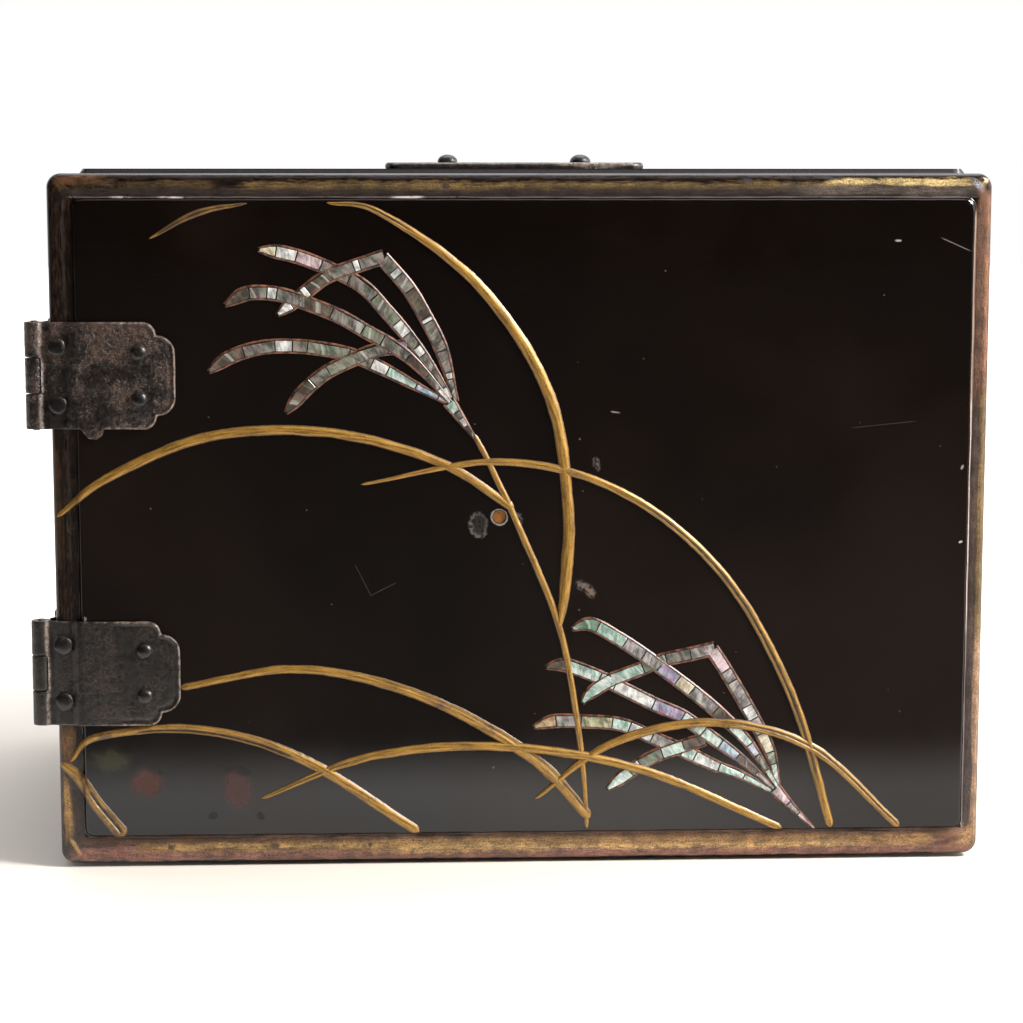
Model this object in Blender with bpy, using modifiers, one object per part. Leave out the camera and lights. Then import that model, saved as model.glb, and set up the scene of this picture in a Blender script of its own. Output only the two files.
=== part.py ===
"""Portable lacquer box: an open case and a door with grass in relief and shell inlay, on two iron hinges.

Metres, +Z up. The front faces -Y. The origin is the middle of the case's underside.
"""
import math

import bmesh
import bpy
from mathutils import Matrix, Vector

# Clearance
FIT = 0.0003

# Case
CASE_WIDTH = 0.300
CASE_DEPTH = 0.190
CASE_HEIGHT = 0.2235
WALL = 0.010
CASE_CORNER = 0.0045
CASE_EDGE = 0.002
CASE_BORDER = 0.008

# Raised fields, on the door and on the case
FIELD_RISE = 0.0016
FIELD_SLOPE = 0.0012
FIELD_CORNER = 0.0035
FIELD_ROOT = 0.0015

# Door, with the widths of its border around the field
DOOR_THICKNESS = 0.012
DOOR_CORNER = 0.0045
DOOR_EDGE = 0.002
DOOR_FOOT_GAP = 0.001
BORDER_LEFT = 0.0076
BORDER_RIGHT = 0.0052
BORDER_TOP = 0.0073
BORDER_BOTTOM = 0.0088

# Hole left by the lost lock, from the door's left edge and lower edge
LOCK_HOLE_RADIUS = 0.0023
LOCK_HOLE_DEPTH = 0.0015
LOCK_HOLE_X = 0.1424
LOCK_HOLE_Z = 0.1132

# Hinges
HINGE_HEIGHTS = {"upper": 0.1600, "lower": 0.0643}
HINGE_LENGTH = 0.0340
LEAF_REACH = 0.0398
LEAF_THICKNESS = 0.0013
LEAF_ROOT = 0.0005
LEAF_INSET = 0.0002
LEAF_STEP_RUN = 0.0018
LEAF_STEP_LEAD = 0.0004
LOBE_SMALL = 0.0042
LOBE_LARGE = 0.0060
AXIS_OUT = 0.0048
BARREL_RADIUS = 0.0032
BARREL_SINK = 0.0002
BARREL_CLEARANCE = 0.0006
PIN_RADIUS = 0.0012
PIN_OVERHANG = 0.0004

# Nails, placed from the edge of the board that carries the leaf
NAIL_HEAD_RADIUS = 0.0026
NAIL_HEAD_HEIGHT = 0.0016
NAIL_SHANK_RADIUS = 0.0009
NAIL_COVER = 0.004
NAIL_ROOT_X = 0.0026
NAIL_ROOT_SPREAD = 0.0092
NAIL_END_X = 0.0284
NAIL_END_SPREAD = 0.0074

# Plate and studs on the top
PLATE_LENGTH = 0.092
PLATE_WIDTH = 0.022
PLATE_THICKNESS = 0.0024
PLATE_BEVEL = 0.0010
PLATE_CORNER = 0.005
PLATE_OFFSET = 0.0018
STUD_SPACING = 0.0476
STUD_RADIUS = 0.0036
STUD_HEIGHT = 0.0026
STUD_SHANK_RADIUS = 0.0012

# Shell strands
STRAND_WIDTH = 0.0042
STRAND_TOP = 0.0001
STRAND_DEPTH = 0.0009
STRAND_STAGGER = 0.00004
STRAND_END = 0.55
STRAND_CROWN = 0.85
GROOVE_OVER = 0.0004

# Section of a gold blade, as shares of half its width
BLADE_ROOT = 0.22
BLADE_RISE = 0.30
BLADE_CROWN = 0.45
BRIDGE_RISE = 0.70
BRIDGE_CROWN = 0.50

# Units of the drawn ornament
MM = 0.001
THOUSANDTH = 1 / 1000

# Ornament, drawn from the door's lower left corner. Across and up are thousandths of the door's width
# and height, and the blades' widths are in millimetres. The bridges cross over the lower plume.
BLADES = [
    [(293, 959, 0.8), (350, 944, 2.2), (453, 843, 3.8), (529, 691, 4), (552, 526, 3.9), (540, 342, 1.2)],
    [(107, 908, 0.7), (157, 944, 1.9), (210, 958, 0.7)],
    [(9, 508, 3.2), (60, 569, 3), (167, 627, 3), (293, 632, 3.1), (410, 589, 3), (490, 521, 2.4)],
    [(327, 557, 1), (475, 589, 2.4), (603, 546, 3), (713, 427, 3), (790, 249, 3), (837, 45, 2.6)],
    [(453, 616, 1.8), (497, 489, 2.2), (540, 342, 2.2), (562, 175, 2), (570, 47, 1.4)],
    [(137, 265, 2.4), (260, 288, 2.8), (390, 247, 3.4), (507, 157, 3.4), (573, 63, 2.2)],
    [(12, 153, 2.2), (43, 191, 3), (150, 200, 3.1), (260, 156, 3.2), (387, 44, 2.4)],
    [(7, 142, 1.6), (27, 117, 2.4), (67, 44, 2)],
]
BRIDGES = [
    [(217, 97, 1.2), (333, 157, 2.6), (475, 171, 2.8), (627, 135, 2.8), (783, 44, 1.8)],
    [(513, 92, 1.2), (595, 173, 2.6), (703, 204, 2.8), (813, 166, 3), (912, 45, 2.2)],
]

# Shell strands, from the tip to the stem, and the stem first
PLUME_UPPER = [
    [(420, 681), (451, 621)],
    [(240, 800), (292, 851), (350, 879), (382, 834), (413, 751), (426, 677)],
    [(221, 893), (279, 875), (354, 807), (422, 680)],
    [(186, 815), (241, 830), (337, 775), (421, 679)],
    [(168, 720), (222, 753), (320, 742), (421, 676)],
    [(249, 662), (291, 717), (367, 749)],
]
PLUME_LOWER = [
    [(772, 110), (818, 48)],
    [(565, 236), (623, 280), (703, 310), (733, 250), (769, 159), (776, 105)],
    [(553, 343), (575, 349), (658, 277), (774, 109)],
    [(525, 288), (573, 278), (673, 212), (772, 107)],
    [(512, 200), (583, 205), (677, 161), (773, 102)],
    [(592, 106), (638, 150), (697, 175)],
]

# Roundness
CORNER_SEGMENTS = 4
EDGE_SEGMENTS = 2
BARREL_SIDES = 16
NAIL_SIDES = 10
DOME_STEPS = 2
LOBE_STEPS = 4
PATH_STEPS = 3
SHARP_ANGLE = math.radians(35)

# Tolerances
WELD = 0.000001
FLAT_ANGLE = math.radians(0.05)
ALIGNED_ANGLE = math.radians(2)

# Worked out from the sizes above
DOOR_WIDTH = CASE_WIDTH
DOOR_HEIGHT = CASE_HEIGHT - DOOR_FOOT_GAP
CASE_LEFT = -CASE_WIDTH / 2
CASE_FRONT = -CASE_DEPTH / 2
DOOR_BACK = CASE_FRONT - FIT
DOOR_FRONT = DOOR_BACK - DOOR_THICKNESS
FIELD_FRONT = DOOR_FRONT - FIELD_RISE
AXIS_X = CASE_LEFT - AXIS_OUT
AXIS_Y = DOOR_FRONT - FIT - LEAF_THICKNESS - BARREL_SINK + BARREL_RADIUS
KNUCKLE_LENGTH = (HINGE_LENGTH - 2 * FIT) / 3

# Looks: colour, roughness and metallic value
IRON = ((0.045, 0.038, 0.035, 1), 0.55, 0.85)
LACQUER = ((0.010, 0.006, 0.004, 1), 0.12, 0.0)
PEARL = ((0.55, 0.58, 0.55, 1), 0.22, 0.1)


def new_collection(name):
    """A collection of the scene."""
    collection = bpy.data.collections.new(name)
    bpy.context.scene.collection.children.link(collection)
    return collection


def new_material(name, look):
    """A plain surface with a colour, a roughness and a metallic value."""
    color, roughness, metallic = look
    material = bpy.data.materials.new(name)
    material.use_nodes = True
    shader = material.node_tree.nodes["Principled BSDF"]
    shader.inputs["Base Color"].default_value = color
    shader.inputs["Roughness"].default_value = roughness
    shader.inputs["Metallic"].default_value = metallic
    material.diffuse_color = color
    return material


def mesh_object(name, bm, collection, material=None):
    """Turn a bmesh into a named object."""
    bmesh.ops.recalc_face_normals(bm, faces=bm.faces)
    mesh = bpy.data.meshes.new(name)
    bm.to_mesh(mesh)
    bm.free()
    piece = bpy.data.objects.new(name, mesh)
    collection.objects.link(piece)
    if material:
        mesh.materials.append(material)
    return piece


def hide_tool(piece):
    """A cutter or a shape joined to another one is only drawn as wire."""
    piece.hide_render = True
    piece.display_type = "WIRE"
    return piece


def combine(target, other, operation):
    """Cut from, or join to, the target with a Boolean."""
    modifier = target.modifiers.new(other.name, "BOOLEAN")
    modifier.operation = operation
    modifier.object = other


def cube_between(low, high):
    """A bmesh box from its lowest corner to its highest."""
    bm = bmesh.new()
    bmesh.ops.create_cube(bm, size=1)
    size = Vector(high) - Vector(low)
    middle = (Vector(high) + Vector(low)) / 2
    bmesh.ops.transform(bm, matrix=Matrix.Translation(middle) @ Matrix.Diagonal((*size, 1)), verts=bm.verts)
    return bm


def edges_along(bm, axis):
    """The edges that run along one axis."""
    found = []
    for edge in bm.edges:
        run = edge.verts[1].co - edge.verts[0].co
        if math.acos(min(abs(run[axis]) / run.length, 1)) < ALIGNED_ANGLE:
            found.append(edge)
    return found


def face_towards(bm, direction):
    """The face that looks in a direction and lies furthest that way."""
    looking = [face for face in bm.faces if face.normal.angle(direction) < ALIGNED_ANGLE]
    return max(looking, key=lambda face: face.calc_center_median().dot(direction))


def round_edges(bm, edges, radius, segments):
    """Round the given edges."""
    bmesh.ops.bevel(bm, geom=edges, offset=radius, segments=segments, profile=0.5, affect="EDGES")
    bm.normal_update()


def board(low, high, corner, edge, direction):
    """A board with round corners, and a round edge on the side that looks in a direction."""
    bm = cube_between(low, high)
    bm.normal_update()
    axis = max(range(3), key=lambda i: abs(direction[i]))
    round_edges(bm, edges_along(bm, axis), corner, CORNER_SEGMENTS)
    round_edges(bm, list(face_towards(bm, direction).edges), edge, EDGE_SEGMENTS)
    return bm


def raised_field(name, width, height, place, collection):
    """A low field with sloping sides. It is made flat and facing +Z, then put in its place."""
    low = (-width / 2, -height / 2, -FIELD_ROOT)
    high = (width / 2, height / 2, FIELD_RISE)
    bm = cube_between(low, high)
    bm.normal_update()
    round_edges(bm, edges_along(bm, 2), FIELD_CORNER, CORNER_SEGMENTS)
    top = face_towards(bm, Vector((0, 0, 1)))
    bmesh.ops.inset_region(bm, faces=[top], thickness=FIELD_SLOPE)
    for vert in bm.verts:
        if vert.co.z > 0 and vert not in top.verts:
            vert.co.z = 0
    field = hide_tool(mesh_object(name, bm, collection))
    field.matrix_world = place
    return field


def facing(normal, up, middle):
    """The place of a flat shape whose +Z looks along the normal and whose +Y looks up."""
    across = Vector(up).cross(Vector(normal))
    turn = Matrix((across, Vector(up), Vector(normal))).transposed().to_4x4()
    return Matrix.Translation(middle) @ turn


def solid_of_revolution(name, profile, sides, collection, material=None):
    """Turn a closed or axis-to-axis profile of (radius, height) pairs around Z."""
    bm = bmesh.new()
    verts = [bm.verts.new((radius, 0, height)) for radius, height in profile]
    for first, second in zip(verts, verts[1:]):
        bm.edges.new((first, second))
    if profile[0][0] > 0 and profile[-1][0] > 0:
        bm.edges.new((verts[-1], verts[0]))
    mesh = bpy.data.meshes.new(name)
    bm.to_mesh(mesh)
    bm.free()
    piece = bpy.data.objects.new(name, mesh)
    collection.objects.link(piece)
    screw = piece.modifiers.new("turn", "SCREW")
    screw.steps = sides
    screw.render_steps = sides
    screw.use_merge_vertices = True
    screw.merge_threshold = WELD
    if material:
        mesh.materials.append(material)
    return piece


def between(t, before, start, stop, after):
    """A value between start and stop on a Catmull-Rom curve."""
    bend = 2 * before - 5 * start + 4 * stop - after
    twist = 3 * start - before - 3 * stop + after
    return 0.5 * (2 * start + (stop - before) * t + bend * t ** 2 + twist * t ** 3)


def smooth_path(points, steps):
    """Points along a smooth curve through the given ones, each with its width if it has one."""
    ends = [tuple(2 * a - b for a, b in zip(points[0], points[1]))]
    ends += list(points)
    ends.append(tuple(2 * a - b for a, b in zip(points[-1], points[-2])))
    path = []
    for index in range(1, len(ends) - 2):
        for step in range(steps):
            path.append(tuple(between(step / steps, *values) for values in zip(*ends[index - 1:index + 3])))
    path.append(points[-1])
    return path


def field_height(across, up):
    """How far the door's surface stands out of its border at a point, from the lower left corner."""
    inward = min(
        across - BORDER_LEFT,
        DOOR_WIDTH - BORDER_RIGHT - across,
        up - BORDER_BOTTOM,
        DOOR_HEIGHT - BORDER_TOP - up,
    )
    return FIELD_RISE * min(max(inward / FIELD_SLOPE, 0), 1)


def band_profile(name, outline, collection):
    """A closed outline that is swept along a curve."""
    curve = bpy.data.curves.new(name, "CURVE")
    curve.dimensions = "2D"
    curve.fill_mode = "NONE"
    spline = curve.splines.new("POLY")
    spline.points.add(len(outline) - 1)
    for point, (across, up) in zip(spline.points, outline):
        point.co = (across, up, 0, 1)
    spline.use_cyclic_u = True
    profile = bpy.data.objects.new(name, curve)
    collection.objects.link(profile)
    return hide_tool(profile)


def swept_band(name, path, profile, collection):
    """A band along (across, up, lift, width) points on the door's front, as a closed mesh."""
    curve = bpy.data.curves.new(name, "CURVE")
    curve.dimensions = "3D"
    curve.twist_mode = "Z_UP"
    curve.bevel_mode = "OBJECT"
    curve.bevel_object = profile
    curve.use_fill_caps = True
    spline = curve.splines.new("POLY")
    spline.points.add(len(path) - 1)
    for point, (across, up, lift, width) in zip(spline.points, path):
        point.co = (across, up, lift, 1)
        point.radius = width / 2
    drawn = bpy.data.objects.new(name, curve)
    collection.objects.link(drawn)
    corner = Vector((CASE_LEFT, DOOR_FRONT, DOOR_FOOT_GAP))
    drawn.matrix_world = facing((0, -1, 0), (0, 0, 1), corner)
    bpy.context.view_layer.update()
    evaluated = drawn.evaluated_get(bpy.context.evaluated_depsgraph_get())
    mesh = bpy.data.meshes.new_from_object(evaluated)
    bm = bmesh.new()
    bm.from_mesh(mesh)
    bmesh.ops.remove_doubles(bm, verts=bm.verts, dist=WELD)
    bmesh.ops.transform(bm, matrix=drawn.matrix_world, verts=bm.verts)
    bpy.data.objects.remove(drawn)
    bpy.data.meshes.remove(mesh)
    return mesh_object(name, bm, collection)


def on_door(point):
    """A drawn (across, up) point on the door as it is sized, in metres."""
    return point[0] * THOUSANDTH * DOOR_WIDTH, point[1] * THOUSANDTH * DOOR_HEIGHT


def blade(name, points, profile, collection):
    """A gold blade of grass that follows the door's surface."""
    path = []
    for point in smooth_path(points, PATH_STEPS):
        across, up = on_door(point)
        path.append((across, up, field_height(across, up), point[2] * MM))
    return swept_band(name, path, profile, collection)


def strand(name, points, profile, lift, collection):
    """One shell strand. Its ends are a little narrower than its middle."""
    drawn = smooth_path(points, PATH_STEPS)
    path = []
    for index, point in enumerate(drawn):
        across, up = on_door(point)
        share = min(index, len(drawn) - 1 - index) / PATH_STEPS
        width = STRAND_WIDTH * (STRAND_END + (1 - STRAND_END) * min(share, 1))
        path.append((across, up, FIELD_RISE + lift, width))
    return swept_band(name, path, profile, collection)


def band_outline(bottom, top, foot, crown):
    """A flat-topped section: bottom and top heights, half width at the foot and at the crown."""
    return [(-foot, bottom), (foot, bottom), (crown, top), (-crown, top)]


def joined_strands(name, plume, profile, collection, tools, material):
    """The strands of a plume fused into one solid, that starts as its stem."""
    stem = strand(name, plume[0], profile, 0, collection)
    stem.data.materials.append(material)
    for index, points in enumerate(plume[1:], start=1):
        piece = strand(f"{name}_{index}", points, profile, -STRAND_STAGGER * index, tools)
        combine(stem, hide_tool(piece), "UNION")


def build_case(collection, tools, lacquer):
    """The carcass: round outer edges, raised fields on four sides, open at the front."""
    low = (CASE_LEFT, CASE_FRONT, 0)
    high = (-CASE_LEFT, -CASE_FRONT, CASE_HEIGHT)
    bm = board(low, high, CASE_CORNER, CASE_EDGE, Vector((0, 1, 0)))
    case = mesh_object("case", bm, collection, lacquer)
    side_width = CASE_DEPTH - 2 * CASE_BORDER
    side_height = CASE_HEIGHT - 2 * CASE_BORDER
    top_width = CASE_WIDTH - BORDER_LEFT - BORDER_RIGHT
    top_middle = (BORDER_LEFT - BORDER_RIGHT) / 2
    back_width = CASE_WIDTH - 2 * CASE_BORDER
    middle = CASE_HEIGHT / 2
    fields = {
        "case_field_top": (top_width, side_width, (0, 0, 1), (0, 1, 0), (top_middle, 0, CASE_HEIGHT)),
        "case_field_left": (side_width, side_height, (-1, 0, 0), (0, 0, 1), (CASE_LEFT, 0, middle)),
        "case_field_right": (side_width, side_height, (1, 0, 0), (0, 0, 1), (-CASE_LEFT, 0, middle)),
        "case_field_back": (back_width, side_height, (0, 1, 0), (0, 0, 1), (0, -CASE_FRONT, middle)),
    }
    for name, (width, height, normal, up, centre) in fields.items():
        combine(case, raised_field(name, width, height, facing(normal, up, centre), tools), "UNION")
    inside_low = (CASE_LEFT + WALL, CASE_FRONT - WALL, WALL)
    inside_high = (-CASE_LEFT - WALL, -CASE_FRONT - WALL, CASE_HEIGHT - WALL)
    inside = mesh_object("case_inside", cube_between(inside_low, inside_high), tools)
    combine(case, hide_tool(inside), "DIFFERENCE")
    return case


def build_door(collection, tools, lacquer):
    """The board with its field, the blades built up on it and the hole of the lost lock."""
    low = (CASE_LEFT, DOOR_FRONT, DOOR_FOOT_GAP)
    high = (-CASE_LEFT, DOOR_BACK, CASE_HEIGHT)
    bm = board(low, high, DOOR_CORNER, DOOR_EDGE, Vector((0, -1, 0)))
    door = mesh_object("door", bm, collection, lacquer)
    width = DOOR_WIDTH - BORDER_LEFT - BORDER_RIGHT
    height = DOOR_HEIGHT - BORDER_TOP - BORDER_BOTTOM
    centre_x = (BORDER_LEFT - BORDER_RIGHT) / 2
    centre_z = DOOR_FOOT_GAP + BORDER_BOTTOM + height / 2
    place = facing((0, -1, 0), (0, 0, 1), (centre_x, DOOR_FRONT, centre_z))
    combine(door, raised_field("door_field", width, height, place, tools), "UNION")
    profiles = {
        "blade": band_outline(-BLADE_ROOT, BLADE_RISE, 1, BLADE_CROWN),
        "bridge": band_outline(-BLADE_ROOT, BRIDGE_RISE, 1, BRIDGE_CROWN),
    }
    for kind, blades in (("blade", BLADES), ("bridge", BRIDGES)):
        profile = band_profile(kind + "_section", profiles[kind], tools)
        for index, points in enumerate(blades):
            combine(door, hide_tool(blade(f"{kind}_{index}", points, profile, tools)), "UNION")
    radius, depth = LOCK_HOLE_RADIUS, LOCK_HOLE_DEPTH
    outline = [(0, depth), (radius, depth), (radius, -depth), (0, -depth)]
    hole = solid_of_revolution("lock_hole", outline, BARREL_SIDES, tools)
    hole_x = CASE_LEFT + LOCK_HOLE_X
    hole_z = DOOR_FOOT_GAP + LOCK_HOLE_Z
    hole.matrix_world = facing((0, -1, 0), (0, 0, 1), (hole_x, FIELD_FRONT, hole_z))
    combine(door, hide_tool(hole), "DIFFERENCE")
    return door


def build_plume(name, plume, door, collection, tools, pearl):
    """A shell plume set in grooves of the door's field."""
    half = STRAND_WIDTH / 2
    inlay = band_outline(-STRAND_DEPTH / half, STRAND_TOP / half, 1, STRAND_CROWN)
    wide = 1 + FIT / half
    cut = band_outline(-(STRAND_DEPTH + FIT) / half, (STRAND_TOP + GROOVE_OVER) / half, wide, wide)
    inlay_section = band_profile(name + "_section", inlay, tools)
    groove_section = band_profile(name + "_groove_section", cut, tools)
    joined_strands(name, plume, inlay_section, collection, tools, pearl)
    for index, points in enumerate(plume):
        groove = strand(f"{name}_groove_{index}", points, groove_section, -STRAND_STAGGER * index, tools)
        combine(door, hide_tool(groove), "DIFFERENCE")


def arc(centre, radius, start, stop):
    """Points of an arc in degrees, both ends with it."""
    points = []
    for step in range(LOBE_STEPS + 1):
        angle = math.radians(start + (stop - start) * step / LOBE_STEPS)
        points.append((centre[0] + radius * math.cos(angle), centre[1] + radius * math.sin(angle)))
    return points


def leaf_outline(reach, root):
    """Half the outline of a leaf, above its middle line: two lobes at the far end."""
    half = HINGE_LENGTH / 2 - LEAF_INSET
    lobe_start = reach - LOBE_LARGE - LOBE_SMALL
    upper = root + [(lobe_start, half)]
    upper += arc((lobe_start, half - LOBE_SMALL), LOBE_SMALL, 90, 0)[1:]
    cusp = half - LOBE_SMALL
    upper += arc((reach - LOBE_LARGE, cusp - LOBE_LARGE), LOBE_LARGE, 90, 0)[1:]
    lower = [(across, -up) for across, up in reversed(upper)]
    return upper + lower


def door_root():
    """The door leaf reaches the barrel above and below the middle knuckle."""
    notch = KNUCKLE_LENGTH / 2 + FIT + LEAF_INSET
    clear = BARREL_RADIUS + BARREL_CLEARANCE
    return [(clear, notch), (LEAF_ROOT, notch), (LEAF_ROOT, HINGE_LENGTH / 2 - LEAF_INSET)]


def case_root():
    """The case leaf reaches the barrel at the middle knuckle only."""
    tongue = KNUCKLE_LENGTH / 2 - LEAF_INSET
    clear = BARREL_RADIUS + BARREL_CLEARANCE
    return [(LEAF_ROOT, tongue), (clear, tongue), (clear, HINGE_LENGTH / 2 - LEAF_INSET)]


def flat_plate(name, outline, thickness, collection):
    """A flat outline given a thickness, as a closed mesh in the plane z = 0 and up."""
    curve = bpy.data.curves.new(name, "CURVE")
    curve.dimensions = "2D"
    curve.fill_mode = "BOTH"
    curve.extrude = thickness / 2
    spline = curve.splines.new("POLY")
    spline.points.add(len(outline) - 1)
    for point, (across, up) in zip(spline.points, outline):
        point.co = (across, up, 0, 1)
    spline.use_cyclic_u = True
    drawn = bpy.data.objects.new(name, curve)
    collection.objects.link(drawn)
    bpy.context.view_layer.update()
    mesh = bpy.data.meshes.new_from_object(drawn.evaluated_get(bpy.context.evaluated_depsgraph_get()))
    bm = bmesh.new()
    bm.from_mesh(mesh)
    bmesh.ops.remove_doubles(bm, verts=bm.verts, dist=WELD)
    bmesh.ops.dissolve_limit(bm, angle_limit=FLAT_ANGLE, verts=bm.verts, edges=bm.edges)
    bmesh.ops.translate(bm, verts=bm.verts, vec=(0, 0, thickness / 2))
    bpy.data.objects.remove(drawn)
    bpy.data.meshes.remove(mesh)
    return bm


def bend_steps(bm, steps):
    """Raise or lower a plate by steps, each from one distance to another by a height."""
    for start, stop, _ in steps:
        for distance in (start, stop):
            everything = list(bm.verts) + list(bm.edges) + list(bm.faces)
            bmesh.ops.bisect_plane(
                bm, geom=everything, dist=WELD, plane_co=(distance, 0, 0), plane_no=(1, 0, 0))
    for vert in bm.verts:
        for start, stop, height in steps:
            vert.co.z += height * min(max((vert.co.x - start) / (stop - start), 0), 1)


def knuckle(name, place, height, collection):
    """A short tube on the hinge's axis, at a height from the hinge's middle."""
    bore = PIN_RADIUS + FIT
    half = KNUCKLE_LENGTH / 2
    profile = [(BARREL_RADIUS, half), (BARREL_RADIUS, -half), (bore, -half), (bore, half)]
    tube = solid_of_revolution(name, profile, BARREL_SIDES, collection)
    tube.matrix_world = place @ Matrix.Translation((0, 0, height))
    return hide_tool(tube)


def domed_nail(name, place, head_radius, head_height, shank_radius, length, collection, tools, iron):
    """A nail whose head's underside is at its place, and the cutter of its hole."""
    dome = []
    for step in range(DOME_STEPS + 1):
        angle = math.pi / 2 * (1 - step / DOME_STEPS)
        dome.append((head_radius * math.cos(angle), head_height * math.sin(angle)))
    dome[0] = (0, head_height)
    dome[-1] = (head_radius, 0)
    shank = [(shank_radius, 0), (shank_radius, -length), (0, -length)]
    nail = solid_of_revolution(name, dome + shank, NAIL_SIDES, collection, iron)
    nail.matrix_world = place
    wide = shank_radius + FIT
    deep = length + FIT
    bore = [(0, FIT), (wide, FIT), (wide, -deep), (0, -deep)]
    hole = solid_of_revolution(name + "_hole", bore, NAIL_SIDES, tools)
    hole.matrix_world = place
    return hide_tool(hole)


def build_leaf(name, place, wood, wood_thickness, edge, base, steps, root, heights, collection, tools, iron):
    """One leaf with its knuckles and nails. edge is where the board that carries it begins."""
    bm = flat_plate(name, leaf_outline(edge + LEAF_REACH, root), LEAF_THICKNESS, tools)
    bend_steps(bm, steps)
    bmesh.ops.transform(bm, matrix=place @ Matrix.Translation((0, 0, base)), verts=bm.verts)
    leaf = mesh_object(name, bm, collection, iron)
    upright = place @ Matrix.Rotation(-math.pi / 2, 4, "X")
    for index, height in enumerate(heights):
        combine(leaf, knuckle(f"{name}_knuckle_{index}", upright, height, tools), "UNION")
    border = base + sum(height for _, _, height in steps[:-1])
    spots = [
        (NAIL_ROOT_X, NAIL_ROOT_SPREAD, border),
        (NAIL_ROOT_X, -NAIL_ROOT_SPREAD, border),
        (NAIL_END_X, NAIL_END_SPREAD, border + FIELD_RISE),
        (NAIL_END_X, -NAIL_END_SPREAD, border + FIELD_RISE),
    ]
    length = FIT + LEAF_THICKNESS + FIT + wood_thickness - NAIL_COVER
    for index, (across, up, under) in enumerate(spots, start=1):
        seat = place @ Matrix.Translation((edge + across, up, under + LEAF_THICKNESS + FIT))
        hole = domed_nail(
            name.replace("leaf", f"nail_{index}"), seat, NAIL_HEAD_RADIUS, NAIL_HEAD_HEIGHT,
            NAIL_SHANK_RADIUS, length, collection, tools, iron)
        combine(leaf, hole, "DIFFERENCE")
        combine(wood, hole, "DIFFERENCE")
    return leaf


def build_hinge(side, height, door, case, collection, tools, iron):
    """A hinge: a leaf on the door's front, a leaf on the case's left side, and the pin."""
    middle = (AXIS_X, AXIS_Y, height)
    outer = KNUCKLE_LENGTH + FIT
    door_foot = AXIS_OUT + BORDER_LEFT - LEAF_STEP_LEAD
    build_leaf(
        f"hinge_{side}_door_leaf", facing((0, -1, 0), (0, 0, 1), middle), door, DOOR_THICKNESS, AXIS_OUT,
        BARREL_RADIUS - BARREL_SINK - LEAF_THICKNESS, [(door_foot - LEAF_STEP_RUN, door_foot, FIELD_RISE)],
        door_root(), (-outer, outer), collection, tools, iron)
    case_edge = CASE_FRONT - AXIS_Y
    case_foot = case_edge + CASE_BORDER - LEAF_STEP_LEAD
    tongue = BARREL_SINK - BARREL_RADIUS
    onto_case = FIT - AXIS_OUT - tongue
    tongue_end = BARREL_RADIUS + BARREL_CLEARANCE
    steps = [
        (tongue_end, tongue_end + LEAF_STEP_RUN, onto_case),
        (case_foot - LEAF_STEP_RUN, case_foot, FIELD_RISE),
    ]
    build_leaf(
        f"hinge_{side}_case_leaf", facing((-1, 0, 0), (0, 0, -1), middle), case, WALL, case_edge, tongue,
        steps, case_root(), (0,), collection, tools, iron)
    half = HINGE_LENGTH / 2 + PIN_OVERHANG
    profile = [(0, half), (PIN_RADIUS, half), (PIN_RADIUS, -half), (0, -half)]
    pin = solid_of_revolution(f"hinge_{side}_pin", profile, BARREL_SIDES, collection, iron)
    pin.location = middle


def build_top_plate(case, collection, tools, iron):
    """The iron plate on the top, with its two domed studs."""
    top = CASE_HEIGHT + FIELD_RISE + FIT
    low = (PLATE_OFFSET - PLATE_LENGTH / 2, -PLATE_WIDTH / 2, top)
    high = (PLATE_OFFSET + PLATE_LENGTH / 2, PLATE_WIDTH / 2, top + PLATE_THICKNESS)
    bm = board(low, high, PLATE_CORNER, PLATE_BEVEL, Vector((0, 0, 1)))
    plate = mesh_object("top_plate", bm, collection, iron)
    length = FIT + PLATE_THICKNESS + FIT + WALL - NAIL_COVER
    for name, side in (("top_stud_left", -1), ("top_stud_right", 1)):
        seat = Matrix.Translation((PLATE_OFFSET + side * STUD_SPACING / 2, 0, high[2] + FIT))
        hole = domed_nail(
            name, seat, STUD_RADIUS, STUD_HEIGHT, STUD_SHANK_RADIUS, length, collection, tools, iron)
        combine(plate, hole, "DIFFERENCE")
        combine(case, hole, "DIFFERENCE")


def shade_round(pieces):
    """Make turned pieces plain meshes that are shaded smooth, with sharp rims."""
    depsgraph = bpy.context.evaluated_depsgraph_get()
    for piece in pieces:
        mesh = bpy.data.meshes.new_from_object(piece.evaluated_get(depsgraph))
        mesh.shade_smooth()
        mesh.set_sharp_from_angle(angle=SHARP_ANGLE)
        piece.modifiers.clear()
        piece.data = mesh


def hang_on_axis(pieces, collection):
    """Parent what swings to an empty on the axis of the hinges."""
    axis = bpy.data.objects.new("swing_axis", None)
    axis.location = (AXIS_X, AXIS_Y, CASE_HEIGHT / 2)
    collection.objects.link(axis)
    bpy.context.view_layer.update()
    for piece in pieces:
        piece.parent = axis
        piece.matrix_parent_inverse = axis.matrix_world.inverted()


def clear_scene():
    """Start from an empty scene."""
    for piece in list(bpy.data.objects):
        bpy.data.objects.remove(piece, do_unlink=True)


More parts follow.
